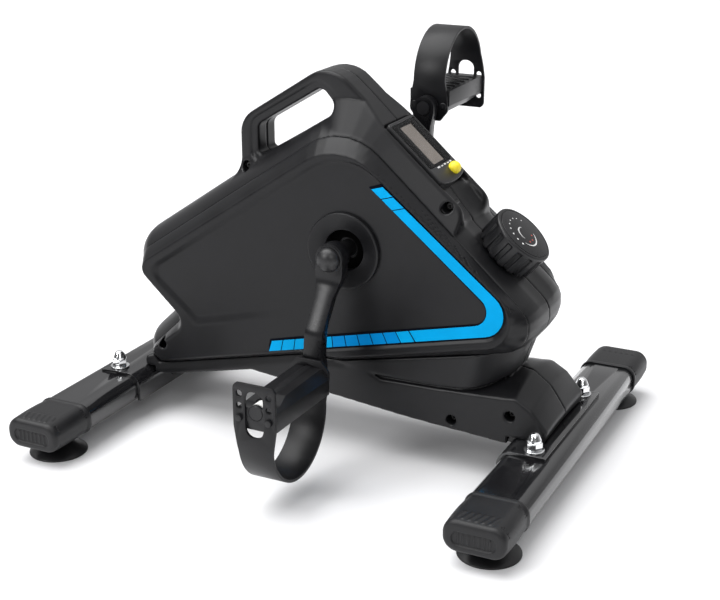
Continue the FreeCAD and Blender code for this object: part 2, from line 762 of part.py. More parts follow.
def make_return_spring():
    """A torsion spring round the pivot pin, between the bracket's ears."""
    wire, radius, pitch, turns = 0.7, 4.6, 2.4, 4
    helix = Part.makeHelix(pitch, pitch * turns, radius)
    profile = Part.Wire(Part.makeCircle(wire, Vector(radius, 0, 0), Vector(0, 1, 0)))
    coil = Part.Wire(helix.Edges).makePipeShell([profile], True, True)
    spring = doc.addObject("Part::Feature", "bracket_spring")
    spring.Shape = coil
    node(spring, "bracket_spring")
    upright = Rotation(Vector(1, 0, 0), 90)
    place(spring, PIVOT[0], pitch * turns / 2, PIVOT[1], upright)


def make_speed_sensor():
    """Reed switch on the frame plate, and the small magnet that passes it on the pulley."""
    sensor = new_body("speed_sensor")
    sketch = new_sketch(sensor, "XZ_Plane", D.plate_out)
    x, z = value_of("hub_x") - 22, value_of("hub_z") - 50
    draw_box(sketch, 10, 22, 0, 0)
    pad(sensor, sketch, 6)
    place(sensor, x, 0, z)
    magnet = new_body("sensor_magnet")
    sketch = new_sketch(magnet, "XZ_Plane", D.pulley_in - 2.5)
    draw_circle(sketch, 2.8)
    pad(magnet, sketch, 2.5)
    place(magnet, value_of("hub_x") - 20, 0, value_of("hub_z") - 53.5)


# ---------------------------------------------------------------- cranks

def make_crank(side, turn_of_arm):
    """A flat steel arm with an outward bend, drawn hanging down on the left side."""
    body = new_body(f"{side}_crank")
    inner, outer = value_of("crank_in"), value_of("crank_out")
    thick, length = value_of("crank_thick"), value_of("crank_length")
    reach = value_of("crank_eye")
    sketch = new_sketch(body, "YZ_Plane")
    draw_outline(sketch, [(-inner, 14), (-inner, -16, 18), (-outer, -54, 18), (-outer, -length - reach),
                          (-outer - thick, -length - reach), (-outer - thick, -58, 18),
                          (-inner - thick, -19, 18), (-inner - thick, 14)])
    pad(body, sketch, 30, midplane=True)
    trim = new_sketch(body, "XZ_Plane")
    half, hub = value_of("crank_width") / 2, value_of("crank_hub")
    draw_outline(trim, [(-20, -length - 20), (20, -length - 20), (20, 22), (-20, 22)])
    draw_outline(trim, [(-hub, 13, 12), (hub, 13, 12), (hub, -14, 10), (half, -30, 20),
                        (half, -length + 16, 20), (reach, -length + 4, 6), (reach, -length - reach, 10),
                        (-reach, -length - reach, 10), (-reach, -length + 4, 6),
                        (-half, -length + 16, 20), (-half, -30, 20), (-hub, -14, 10)])
    cut(body, trim)
    boss = new_sketch(body, "XZ_Plane", D.crank_in - 4)
    draw_circle(boss, D.crank_hub)
    pad(body, boss, D.crank_thick + 5)
    bore = new_sketch(body, "XZ_Plane")
    draw_circle(bore, D.axle_radius - 1)
    draw_circle(bore, 6.0, 0, -D.crank_length)
    cut(body, bore)
    place(body, D.hub_x, 0, D.hub_z, turn_of_arm)
    return body


def make_crank_caps(arm_places):
    """The bolts that hold the cranks, each under a domed plastic cap."""
    bolt = new_body("crank_bolt_master", keep=False)
    sketch = new_sketch(bolt, "XZ_Plane", D.axle_half)
    draw_circle(sketch, 6.5)
    pad(bolt, sketch, 2.5)
    group("crank_bolts", bolt, arm_places)
    cap = new_body("crank_cap_master", keep=False)
    sketch = new_sketch(cap, "YZ_Plane")
    start = value_of("axle_half") + 1.0
    draw_outline(sketch, [(-start, 7.2), (-start, 10.2), (-start - 3.2, 10.2, 1.5), (-start - 7.5, 6.5, 4),
                          (-start - 8.6, 0), (-start - 6.4, 0), (-start - 5.6, 6, 3), (-start - 2.5, 7.2)])
    turn(cap, sketch, "H_Axis")
    group("crank_caps", cap, arm_places)


def make_pedal_spindles(spindle_places):
    body = new_body("pedal_spindle_master", keep=False)
    sketch = new_sketch(body, "YZ_Plane")
    start, shoulder, end = value_of("crank_out") - 1, 102.3, value_of("pedal_out") - 3
    r = value_of("spindle_radius")
    draw_outline(sketch, [(-start, 0), (-start, 6), (-shoulder, 6), (-shoulder, 7.5), (-shoulder - 1.4, 7.5),
                          (-shoulder - 1.4, r), (-end, r), (-end, 0)])
    turn(body, sketch, "H_Axis")
    group("pedal_spindles", body, spindle_places)


# ---------------------------------------------------------------- pedals

def make_pedal_body(side, placing):
    """A moulded block with a ribbed tread; a tube round the spindle shows along its back."""
    body = new_body(f"{side}_pedal_body")
    start, end = value_of("pedal_in"), value_of("pedal_out")
    top, bottom = value_of("pedal_top"), value_of("pedal_bottom")
    wide, narrow = value_of("pedal_half_in"), value_of("pedal_half_out")
    profile = new_sketch(body, "YZ_Plane")
    draw_outline(profile, [(-start, -bottom + 1), (-start, top), (-end, top), (-end, -bottom + 4),
                           (-end + 12, -bottom + 4, 10), (-end + 26, -bottom + 1, 10)])
    pad(body, profile, D.pedal_half_in * 2, midplane=True)
    for sign in (-1, 1):
        flank = new_sketch(body, "XY_Plane", -D.pedal_bottom - 2)
        draw_outline(flank, [(sign * wide, -start + 1), (sign * wide, -start), (sign * narrow, -end - 1),
                             (sign * (wide + 2), -end - 1), (sign * (wide + 2), -start + 1)])
        cut(body, flank, D.pedal_top + D.pedal_bottom + 6, backwards=True)
        corner = new_sketch(body, "XZ_Plane", D.pedal_in - 1)
        draw_outline(corner, [(sign * (wide - 9), -bottom - 1), (sign * (wide + 2), -bottom - 1),
                              (sign * (wide + 2), 3)])
        cut(body, corner, D.pedal_out - D.pedal_in + 2, backwards=True)
    tube = new_sketch(body, "XZ_Plane", D.pedal_in)
    draw_circle(tube, D.pedal_bottom)
    pad(body, tube, D.pedal_out - D.pedal_in - 12)
    grip = new_sketch(body, "XY_Plane", D.pedal_top)
    for i in range(6):
        y = -start - 14 - 11.5 * i
        half = wide - 4 - (wide - narrow) * (-y - start) / (end - start)
        draw_outline(grip, [(-half, y - 1.5), (half, y - 1.5), (half, y + 1.5), (-half, y + 1.5)])
    pad(body, grip, 0.8)
    pegs = new_sketch(body, "XZ_Plane", D.pedal_out)
    for x in (-D.peg_x, D.peg_x):
        draw_circle(pegs, D.peg_radius, x, D.peg_z)
    pad(body, pegs, D.strap_thick + 2.2)
    bore = new_sketch(body, "XZ_Plane")
    draw_circle(bore, D.spindle_radius + 1.8)
    cut(body, bore)
    rivets = new_sketch(body, "XZ_Plane", D.pedal_in)
    for x in (-13.8, 13.8):
        draw_circle(rivets, 2.0, x, 0)
    cut(body, rivets, 8, midplane=True)
    place(body, *placing)


def make_pedal_bushes(side, placing):
    master = new_body(f"{side}_bush_master", keep=False)
    sketch = new_sketch(master, "XZ_Plane")
    draw_circle(sketch, D.spindle_radius + 1.8)
    draw_circle(sketch, D.spindle_radius + D.shaft_gap)
    pad(master, sketch, 12)
    x, y, z, turned = placing
    seat = Placement(Vector(x, y, z), turned)
    spots = [seat * Placement(Vector(0, -depth, 0), Rotation())
             for depth in (value_of("pedal_in"), value_of("pedal_out") - 16)]
    group(f"{side}_pedal_bushes", master, spots)


def make_pedal_strap(side, placing, rise, tail, row_shift):
    """One moulded strap: base plate by the crank, loop over the foot, plate with holes outside."""
    body = new_body(f"{side}_pedal_strap")
    thick = value_of("strap_thick")
    start, end = value_of("pedal_in") - thick, value_of("pedal_out") + thick
    middle, radius = (start + end) / 2, (end - start) / 2
    sketch = new_sketch(body, "YZ_Plane")
    curves = []
    for r, low_in, low_out in ((radius, -13, -tail), (radius - thick, -13, -tail)):
        curves.append((Vector(-middle + r, low_in, 0), Vector(-middle + r, rise, 0),
                       Vector(-middle, rise + r, 0), Vector(-middle - r, rise, 0),
                       Vector(-middle - r, low_out, 0)))
    (a0, a1, a2, a3, a4), (b0, b1, b2, b3, b4) = curves
    for curve in (Part.LineSegment(a0, a1), Part.Arc(a1, a2, a3), Part.LineSegment(a3, a4),
                  Part.LineSegment(a4, b4), Part.LineSegment(b4, b3), Part.Arc(b3, b2, b1),
                  Part.LineSegment(b1, b0), Part.LineSegment(b0, a0)):
        sketch.addGeometry(curve, False)
    link_ends(sketch, 0)
    pad(body, sketch, D.strap_base_half * 2, midplane=True)
    base, band, plate = (value_of(k) for k in ("strap_base_half", "strap_half", "strap_plate_half"))
    top = rise + radius + 5
    far = base + 5
    for sign in (-1, 1):
        shoulder = new_sketch(body, "XZ_Plane", middle - radius - 1)
        draw_outline(shoulder, [(sign * far, top), (sign * band, top), (sign * band, 22, 14),
                                (sign * (base - 1), 9, 8), (sign * base, -4, 6), (sign * (base - 8), -14),
                                (sign * far, -14)])
        cut(body, shoulder, radius + 1, backwards=True)
        flank = new_sketch(body, "XZ_Plane", middle)
        draw_outline(flank, [(sign * far, top), (sign * band, top), (sign * band, 34, 20),
                             (sign * plate, 12, 20), (sign * plate, -tail, 6), (sign * (plate - 8), -tail - 1),
                             (sign * far, -tail - 1)])
        cut(body, flank, radius + 1, backwards=True)
    window = new_sketch(body, "XZ_Plane", middle)
    draw_outline(window, [(-8, 5.5 - tail, 7.5), (8, 5.5 - tail, 7.5),
                          (8, 20 + row_shift * 0.7, 7.5), (-8, 20 + row_shift * 0.7, 7.5)])
    for x in (-D.peg_x, D.peg_x):
        for row in (-20, -10, 0):
            draw_circle(window, D.peg_radius + 0.15, x, D.peg_z + row + row_shift)
    cut(body, window, radius + 1, backwards=True)
    eye = new_sketch(body, "XZ_Plane", D.pedal_in)
    draw_circle(eye, 8.4)
    for x in (-13.8, 13.8):
        draw_circle(eye, 2.0, x, 0)
    cut(body, eye, 10, midplane=True)
    place(body, *placing)


def make_strap_rivets(side, placing):
    master = new_body(f"{side}_rivet_master", keep=False)
    sketch = new_sketch(master, "YZ_Plane")
    head = value_of("pedal_in") - value_of("strap_thick")
    draw_outline(sketch, [(-head + 1, 0), (-head + 0.6, 3.2, 0.5), (-head, 3.6), (-head, 2), (-head - 6, 2),
                          (-head - 6, 0)])
    turn(master, sketch, "H_Axis")
    x, y, z, turned = placing
    seat = Placement(Vector(x, y, z), turned)
    spots = [seat * Placement(Vector(dx, 0, 0), Rotation()) for dx in (-13.8, 13.8)]
    group(f"{side}_strap_rivets", master, spots)


# ---------------------------------------------------------------- casing

SEAM = [(-191, 146, 14), (-139, 97, 12), (-179, 59, 5), (-168, 47, 3), (-18, 82, 20), (20, 83, 20),
        (208, 124, 21), (21.7, 290, 52)]
RIDGE = [(-181.5, 140, 10), (-130, 93, 12), (-170, 62, 4), (-160, 53.5, 2), (-18, 87.5, 20),
         (20, 88.5, 20), (202, 131, 24), (23, 277, 50)]
FACE = [(-164, 139, 8), (-116, 101, 14), (-62, 115, 20), (-52, 80, 4), (192.5, 138, 20),
        (28.4, 270.3, 50)]
STRIPE = [(51, 239), (61, 242), (190, 138, 19), (-47, 82), (-44, 92), (168, 143, 13)]
BOTTOM = [(-182, 36), (-152, 39, 4), (-70, 58, 10), (-20, 53, 10), (76, 43), (168, 36), (201, 36)]
CROWN_DROP = 11
GRIP = [(-92, 225), (-92, 276, 24), (-1, 333.7, 30), (60, 279, 4), (20, 270)]
GRIP_HOLE = [(-75, 244, 4), (-75, 272, 8), (-12, 310, 8), (6, 292, 7)]
# casing screws: x, z, height of the outer face, inner end of the boss
THROUGH_SCREWS = [(108, 225, 34, 0), (-85, 235, 17, 0), (-158, 70, 40, 0), (173, 61, 48, 0)]
SIDE_SCREWS = [(122, 48, 48, 22.4)]
WELL_RADIUS, SCREW_RADIUS, HEAD_RADIUS, HEAD_HEIGHT = 4.4, 1.8, 3.8, 2.4


def crown_outline(drop=0.0):
    """The casing's side view, with the long rear slope lowered by a drop at the cheeks."""
    slope = [on_slope(s, d) for s, d in ((163, 3.5), (99, 3.5), (88, 18), (-39 + drop * 0.7, 18))]
    x, z = slope[3]
    return [(-206 + drop, 153 - drop * 0.45, 14), (-206 + drop, 120, 10), (-172, 72, 10),
            (-188, 47, 4), *BOTTOM, (205, 50, 5), (192, 78, 8), (163, 86, 8), (189, 124, 14),
            (189, 153, 14), (*slope[0], 10), (*slope[1], 8), (*slope[2], 8), (x, z, 26)]


def skirt_outline():
    return [(-180, 52, 4), *BOTTOM, (204, 50, 5), (190, 74, 8), (168, 78, 4), (176, 108, 10),
            (20, 90, 20), (-18, 90, 20)]


def open_below(outline):
    """The inside of a casing outline, run out past its lower edge, which is open."""
    inner = inset(outline, value_of("wall"))
    marks = {tuple(corner[:2]) for corner in BOTTOM}
    return [(x, z - 25, 0) if tuple(outline[i][:2]) in marks else (x, z, r)
            for i, (x, z, r) in enumerate(inner)]


def make_shell_half():
    """The left half of the casing, before its screw wells are bored."""
    body = new_body("shell_half", keep=False)
    crown = crown_outline()
    band = new_sketch(body, "XZ_Plane")
    draw_outline(band, crown)
    pad(body, band, D.crown_y)
    sections = []
    for start, drop in ((D.crown_y, 0.0), (D.cheek_y, CROWN_DROP)):
        section = new_sketch(body, "XZ_Plane", start)
        draw_outline(section, crown_outline(drop))
        sections.append(section)
    loft(body, sections)
    skirt = new_sketch(body, "XZ_Plane")
    draw_outline(skirt, skirt_outline())
    pad(body, skirt, D.skirt_y)
    flange = new_sketch(body, "XZ_Plane", D.cheek_y - 2)
    draw_outline(flange, SEAM)
    pad(body, flange, D.seam_y - D.cheek_y + 2)
    recess = new_sketch(body, "XZ_Plane", D.seam_y)
    draw_outline(recess, SEAM)
    cut(body, recess, 20, backwards=True)
    grip = new_sketch(body, "XZ_Plane")
    draw_outline(grip, GRIP)
    pad(body, grip, D.grip_y)
    for reach, drop in ((D.crown_y - 1, 0.0), (D.cheek_y - D.wall, CROWN_DROP)):
        inner = new_sketch(body, "XZ_Plane", -0.5)
        draw_outline(inner, open_below(crown_outline(drop)))
        cut(body, inner, reach + 0.5, backwards=True)
    belly = new_sketch(body, "XZ_Plane", -0.5)
    draw_outline(belly, open_below(skirt_outline()))
    cut(body, belly, D.skirt_y - D.wall + 0.5, backwards=True)
    rim = new_sketch(body, "XZ_Plane")
    grown = inset(GRIP_HOLE, -value_of("wall"))
    draw_outline(rim, grown)
    pad(body, rim, D.cheek_y - 4)
    hole = new_sketch(body, "XZ_Plane")
    draw_outline(hole, GRIP_HOLE)
    cut(body, hole)
    side = new_sketch(body, "XZ_Plane", D.cheek_y - 8)
    draw_outline(side, inset(SEAM, 7))
    cut(body, side, 30, backwards=True)
    bosses = new_sketch(body, "XZ_Plane")
    for x, z, face, inner_end in THROUGH_SCREWS:
        draw_circle(bosses, WELL_RADIUS + 1.6, x, z)
    pad(body, bosses, D.grip_y - 0.5)
    for x, z, face, inner_end in THROUGH_SCREWS + SIDE_SCREWS:
        start = inner_end if inner_end else value_of("grip_y") - 1
        if face - start > 1:
            boss = new_sketch(body, "XZ_Plane", start)
            draw_circle(boss, WELL_RADIUS + 1.6, x, z)
            pad(body, boss, face - start)
    seat = new_sketch(body, "XZ_Plane", -0.5)
    length, middle = value_of("console_length"), value_of("console_s")
    corners = [(middle - length / 2 - 0.3, 8), (middle + length / 2 + 0.3, 8),
               (middle + length / 2 + 0.3, 30), (middle - length / 2 - 0.3, 30)]
    draw_outline(seat, [on_slope(s, d) for s, d in corners])
    cut(body, seat, D.console_half + 0.8, backwards=True)
    ends = new_sketch(body, "XZ_Plane")
    top = value_of("stab_z") + value_of("stab_height") / 2 + value_of("saddle_thick") + 0.3
    for sign in (-1, 1):
        inner_x, outer_x = sign * 171.7, sign * 240
        draw_outline(ends, [(inner_x, 0), (outer_x, 0), (outer_x, top), (inner_x, top)])
    cut(body, ends)
    return body


def cylinder(label, radius, length, x, y, z, rotation):
    tool = doc.addObject("Part::Cylinder", label)
    bind(tool, "Radius", radius)
    bind(tool, "Height", length)
    place(tool, x, y, z, rotation)
    return tool


def casing_tools(side, sign):
    """What is bored out of one casing half: the knob's hole, screw wells and pilot holes."""
    inwards = Rotation(Vector(1, 0, 0), -90 if sign < 0 else 90)
    tools = []
    x, z = on_slope(value_of("knob_s"), -4)
    bore = cylinder(f"{side}_knob_bore", 9.2, 14, x, 0, z,
                    Rotation(Vector(0, 1, 0), value_of("slope_angle")))
    tools.append(bore)
    wells = SIDE_SCREWS + (THROUGH_SCREWS if sign < 0 else [])
    for x, z, face, inner_end in wells:
        depth = well_depth(face)
        tools.append(cylinder(f"{side}_well", WELL_RADIUS, depth + 20, x, sign * (face + 20), z, inwards))
    for x, z, face, inner_end in THROUGH_SCREWS + SIDE_SCREWS:
        reach = face if sign < 0 or inner_end else 12
        tools.append(cylinder(f"{side}_pilot", SCREW_RADIUS + 0.05, reach - inner_end + 0.5, x,
                              sign * reach, z, inwards))
    bundle = doc.addObject("Part::Compound", f"{side}_casing_tools")
    bundle.Links = tools
    return bundle


def well_depth(face):
    return 5 if face < 20 else 10


def make_shells():
    half = make_shell_half()
    doc.recompute()
    for side, sign in SIDES.items():
        base = half if sign < 0 else mirror("shell_half_mirror", half)
        shell = doc.addObject("Part::Cut", f"{side}_shell")
        shell.Base = base
        shell.Tool = casing_tools(side, sign)
        node(shell, f"{side}_shell")


def make_casing_screws():
    master = new_body("casing_screw_master", keep=False)
    sketch = new_sketch(master, "YZ_Plane")
    length = 14
    draw_outline(sketch, [(0, 0), (0, HEAD_RADIUS), (-1.2, HEAD_RADIUS), (-HEAD_HEIGHT, 2.4),
                          (-HEAD_HEIGHT, 1.4), (-1, 0)])
    turn(master, sketch, "H_Axis")
    shank = new_sketch(master, "XZ_Plane", -length)
    draw_circle(shank, SCREW_RADIUS)
    pad(master, shank, length)
    spots = []
    for x, z, face, inner_end in THROUGH_SCREWS + SIDE_SCREWS:
        spots.append(Placement(Vector(x, -(face - well_depth(face)), z), Rotation()))
    for x, z, face, inner_end in SIDE_SCREWS:
        spots.append(Placement(Vector(x, face - well_depth(face), z), Rotation(Vector(0, 0, 1), 180)))
    group("casing_screws", master, spots)


def make_side_cover():
    """The left cover: a sloping wall up to a ridge, round a face that lies slightly lower."""
    body = new_body("left_side_cover")
    sections = []
    for outline, start in ((SEAM, D.seam_y), (RIDGE, D.ridge_y)):
        sketch = new_sketch(body, "XZ_Plane", start)
        draw_outline(sketch, outline)
        sections.append(sketch)
    loft(body, sections)
    hollow = []
    for outline, start in ((SEAM, D.seam_y - 0.5), (RIDGE, D.ridge_y - 4.5)):
        sketch = new_sketch(body, "XZ_Plane", start)
        draw_outline(sketch, inset(outline, 2.6))
        hollow.append(sketch)
    loft(body, hollow, subtract=True)
    face = new_sketch(body, "XZ_Plane", D.ridge_y - D.face_depth)
    draw_outline(face, FACE)
    cut(body, face, 8, backwards=True)
    openings = new_sketch(body, "XZ_Plane")
    draw_circle(openings, 21, D.hub_x, D.hub_z)
    x, z = THROUGH_SCREWS[2][:2]
    draw_circle(openings, WELL_RADIUS, x, z)
    cut(body, openings)
    node(mirror("right_side_cover", body))
    return body


def make_accent_stripe():
    body = new_body("left_accent_stripe")
    sketch = new_sketch(body, "XZ_Plane", D.ridge_y - D.face_depth)
    draw_outline(sketch, STRIPE)
    pad(body, sketch, D.stripe_thick)
    node(mirror("right_accent_stripe", body))


def make_hub_cover():
    """A dished ring round the crank axle, with a collar that drops into the side cover."""
    body = new_body("left_hub_cover")
    sketch = new_sketch(body, "YZ_Plane")
    face = value_of("ridge_y") - value_of("face_depth")
    rim = value_of("hub_cover_radius")
    draw_outline(sketch, [(-face, rim), (-face - 2.6, rim), (-face - 3.8, rim - 1.5), (-face - 0.6, 18.5),
                          (-face + 6, 18.5), (-face + 6, 12), (-face + 7.8, 12), (-face + 7.8, 20.8),
                          (-face, 20.8)])
    turn(body, sketch, "H_Axis")
    place(body, D.hub_x, 0, D.hub_z)
    node(mirror("right_hub_cover", body))


# ---------------------------------------------------------------- console and knob

def make_console():
    case = new_body("console_case")
    depth = D.console_top - D.console_floor
    length, width = value_of("console_length"), value_of("console_half") * 2
    top, lens_x = depth, D.lens_s - D.console_s
    button_x = D.button_s - D.console_s
    sketch = new_sketch(case, "XY_Plane")
    outer = tube_outline(length, width, 4)
    draw_outline(sketch, outer)
    pad(case, sketch, depth)
    flange = new_sketch(case, "XY_Plane", depth - 3)
    draw_outline(flange, tube_outline(length + 6, width + 6, 4))
    pad(case, flange, 1.5, backwards=True)
    hollow = new_sketch(case, "XY_Plane")
    draw_outline(hollow, inset(outer, value_of("console_wall")))
    cut(case, hollow, depth - D.console_wall, backwards=True)
    rebate = new_sketch(case, "XY_Plane", top)
    draw_box(rebate, D.lens_length + 0.2, D.lens_width + 0.2, lens_x, 0)
    cut(case, rebate, D.lens_thick)
    window = new_sketch(case, "XY_Plane", top)
    draw_box(window, D.lens_length - 4, D.lens_width - 12, lens_x, 0)
    draw_circle(window, D.button_radius + 0.3, button_x, D.button_y)
    cut(case, window, 6)
    place_on_slope(case, D.console_s, D.console_floor)

    lens = new_body("console_lens")
    sketch = new_sketch(lens, "XY_Plane", -D.lens_thick)
    draw_box(sketch, D.lens_length, D.lens_width)
    pad(lens, sketch, D.lens_thick)
    place_on_slope(lens, D.lens_s, D.console_top)

    under = D.console_top - D.console_wall
    flat_box("lcd_module", 44, 26, 4.6, D.lens_s + 0.5, under - 4.7)
    flat_box("console_board", 56, 46, 1.6, D.console_s, under - 6.9)

    battery = new_body("console_battery")
    sketch = new_sketch(battery, "YZ_Plane")
    draw_circle(sketch, 5.1)
    pad(battery, sketch, 44.5, midplane=True)
    contact = new_sketch(battery, "YZ_Plane", 22)
    draw_circle(contact, 1.9)
    pad(battery, contact, 1.1)
    place_on_slope(battery, D.console_s, under - 12.4)

    button = new_body("mode_button")
    sketch = new_sketch(button, "XZ_Plane")
    r = value_of("button_radius")
    draw_outline(sketch, [(0, -5.9), (r, -5.9), (r, -4.9), (r + 0.9, -4.9), (r + 0.9, -3.4), (r, -3.4),
                          (r, 0.8, 0.7), (0, 1.2)])
    turn(button, sketch)
    place_on_slope(button, D.button_s, D.console_top, D.button_y)


def flat_box(label, length, width, thick, along, out):
    body = new_body(label)
    sketch = new_sketch(body, "XY_Plane")
    draw_box(sketch, length, width)
    pad(body, sketch, thick)
    place_on_slope(body, along, out)


def make_knob():
    """Fluted knob with a printed dial cap, on a spindle that winds the brake cable."""
    knob = new_body("tension_knob")
    r, height = value_of("knob_radius"), value_of("knob_height")
    sketch = new_sketch(knob, "XZ_Plane")
    draw_outline(sketch, [(value_of("spindle_shaft"), 0), (9, 0), (9, height - 4), (r - 3, height - 4),
                          (r - 3, 0), (r, 0), (r, height - 3.5), (r - 1.8, height - 1, 1.5),
                          (r - 4, height), (r - 5, height - 1.2), (value_of("spindle_shaft"), height - 1.2)])
    turn(knob, sketch)
    flutes = new_sketch(knob, "XY_Plane", -0.5)
    for i in range(12):
        angle = math.radians(30 * i + 8)
        draw_circle(flutes, 3.2, (r + 1.7) * math.cos(angle), (r + 1.7) * math.sin(angle))
    cut(knob, flutes, D.knob_height - 5.5, backwards=True)
    place_on_slope(knob, D.knob_s, D.knob_base)

    cap = new_body("knob_dial_cap")
    sketch = new_sketch(cap, "XY_Plane", D.knob_height - 1.2)
    draw_circle(sketch, D.knob_radius - 5.2)
    pad(cap, sketch, 1.5)
    place_on_slope(cap, D.knob_s, D.knob_base)

    spindle = new_body("knob_spindle")
    sketch = new_sketch(spindle, "XZ_Plane")
    shaft = value_of("spindle_shaft")
    draw_outline(sketch, [(0, -10.4), (6.5, -10.4), (6.5, -9.6), (5.8, -9), (5.8, -8.4), (6.5, -7.8),
                          (6.5, -7), (shaft, -7), (shaft, height - 1.3), (0, height - 1.3)])
    turn(spindle, sketch)
    place_on_slope(spindle, D.knob_s, D.knob_base)

    bushing = new_body("knob_bushing")
    bore = shaft + value_of("shaft_gap")
    sketch = new_sketch(bushing, "XZ_Plane")
    draw_outline(sketch, [(bore, -6.4), (12, -6.4), (12, -4.1), (9.1, -4.1), (9.1, -0.8), (bore, -0.8)])
    turn(bushing, sketch)
    place_on_slope(bushing, D.knob_s, D.knob_base)


def make_tension_cable():
    """The steel wire between the knob's spool and the magnet bracket's tab."""
    body = new_body("tension_cable")
    run = cable_run()
    start = CABLE_END - Vector(run).normalize()
    sketch = new_sketch(body, "XY_Plane")
    draw_circle(sketch, 0.7)
    pad(body, sketch, run.Length)
    nipple = new_sketch(body, "XY_Plane", -2)
    draw_circle(nipple, 1.7)
    pad(body, nipple, 2)
    place(body, start.x, CABLE_Y, start.z, Rotation(Vector(0, 0, 1), run))


# ---------------------------------------------------------------- assembly

def build():
    for end, sign in ENDS.items():
        make_stabilizer(end, sign)
        make_saddle(end, sign)
        for side, side_sign in SIDES.items():
            make_end_cap(end, sign, side, side_sign)
    make_feet()
    make_fasteners()
    make_main_frame()
    hub = (value_of("hub_x"), value_of("hub_z"))
    wheel = (value_of("wheel_x"), value_of("wheel_z"))
    width = value_of("bearing_width")
    bearing("crank_bearings", value_of("bearing_radius"), value_of("axle_radius"), width,
            axle_placements(*hub, value_of("bracket_half") - width / 2))
    bearing("flywheel_bearings", value_of("wheel_bearing"), value_of("wheel_axle"), 8,
            axle_placements(*wheel, 23))
    make_crank_axle()
    make_drive_pulley()
    make_drive_belt()
    make_flywheel()
    make_flywheel_axle()
    make_flywheel_pulley()
    make_magnet_bracket()
    make_magnets()
    make_pivot_pin()
    make_return_spring()
    make_speed_sensor()
    lean = Rotation(Vector(0, 1, 0), value_of("crank_angle"))
    swing = math.radians(value_of("crank_angle"))
    arm_places, spindle_places = [], []
    for side, sign in SIDES.items():
        over = Rotation() if sign < 0 else Rotation(Vector(1, 0, 0), 180)
        arm_turn = lean * over
        make_crank(side, arm_turn)
        arm_places.append(Placement(Vector(hub[0], 0, hub[1]), arm_turn))
        length = value_of("crank_length") * sign
        centre = (hub[0] + length * math.sin(swing), hub[1] + length * math.cos(swing))
        spindle_places.append(Placement(Vector(centre[0], 0, centre[1]), arm_turn))
        foot_side = Rotation(Vector(0, 1, 0), 180) if sign < 0 else Rotation(Vector(0, 0, 1), 180)
        placing = (centre[0], 0, centre[1], foot_side)
        make_pedal_body(side, placing)
        make_pedal_bushes(side, placing)
        make_pedal_strap(side, placing, *((25.5, 24, 0) if sign < 0 else (20, 17, 10)))
        make_strap_rivets(side, placing)
    make_crank_caps(arm_places)
    make_pedal_spindles(spindle_places)
    make_shells()
    make_casing_screws()
    make_side_cover()
    make_accent_stripe()
    make_hub_cover()
    make_console()
    make_knob()
    make_tension_cable()


def check_and_export():
    doc.recompute()
    faults = [f"{o.Label}: {o.State}" for o in doc.Objects if {"Invalid", "Error"} & set(o.State)]
    for part in PARTS:
        shape = part.Shape
        if shape.isNull() or not shape.isValid() or not shape.Solids:
            faults.append(f"{part.Label}: bad shape")
    if faults:
        raise RuntimeError("; ".join(faults))
    os.makedirs("parts", exist_ok=True)
    for part in PARTS:
        part.Shape.exportStep(f"parts/{part.Label}.step")
        print(f"{part.Label:24s} solids {len(part.Shape.Solids)}  volume {part.Shape.Volume:10.0f}")
    print(f"{len(PARTS)} parts")


build()
check_and_export()
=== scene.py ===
import math

import bmesh
import bpy
import numpy as np
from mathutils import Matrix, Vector
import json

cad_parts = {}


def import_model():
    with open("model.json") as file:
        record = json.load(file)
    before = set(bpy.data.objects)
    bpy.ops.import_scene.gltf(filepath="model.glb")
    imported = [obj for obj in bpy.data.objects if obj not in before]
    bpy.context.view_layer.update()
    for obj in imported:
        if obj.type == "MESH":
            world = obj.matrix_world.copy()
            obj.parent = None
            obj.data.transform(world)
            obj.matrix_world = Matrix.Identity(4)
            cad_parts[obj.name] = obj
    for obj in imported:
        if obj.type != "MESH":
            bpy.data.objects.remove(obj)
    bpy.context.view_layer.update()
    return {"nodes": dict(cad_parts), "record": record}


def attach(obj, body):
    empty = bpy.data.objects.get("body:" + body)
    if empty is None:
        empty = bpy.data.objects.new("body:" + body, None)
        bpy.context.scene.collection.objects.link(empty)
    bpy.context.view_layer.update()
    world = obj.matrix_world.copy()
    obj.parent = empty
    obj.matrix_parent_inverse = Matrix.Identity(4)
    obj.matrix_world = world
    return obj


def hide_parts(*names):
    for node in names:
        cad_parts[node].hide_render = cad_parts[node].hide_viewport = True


# Pedal exerciser, front towards +x and left side towards -y. Sizes are in millimetres and pieces are built
# in metres. An outline seen from the side is a list of (x, z) or (x, z, radius) corners.
MM = 0.001
SIDES = {"left": -1, "right": 1}
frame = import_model()

# ---------------------------------------------------------------- places that several pieces share

SLOPE_X, SLOPE_Z, ALONG, OUT = 43.0, 271.0, (0.7478, -0.6639), (0.6639, 0.7478)
KNOB_S = 135.5  # the knob's axis, along the slope
CRANK_AXIS = (26, 184)
REAR_SCREW = (-158, 70)
COVER_HALF = 40  # from the mid-plane to the plane in which a side cover sits on its shell
HANDLE_HALF = 17  # half the handle's width
BASE_HALF = 48  # half the width of the wheel housing and the base skirt
SCREW_WELL = 4.4  # radius


def on_slope(s, d):
    """Side-view place of s along the front slope and d out of it."""
    return (SLOPE_X + ALONG[0] * s + OUT[0] * d, SLOPE_Z + ALONG[1] * s + OUT[1] * d)


def slope_place(x, z):
    """The reverse of on_slope."""
    x, z = x - SLOPE_X, z - SLOPE_Z
    return x * ALONG[0] + z * ALONG[1], x * OUT[0] + z * OUT[1]


# ---------------------------------------------------------------- outlines and distance fields

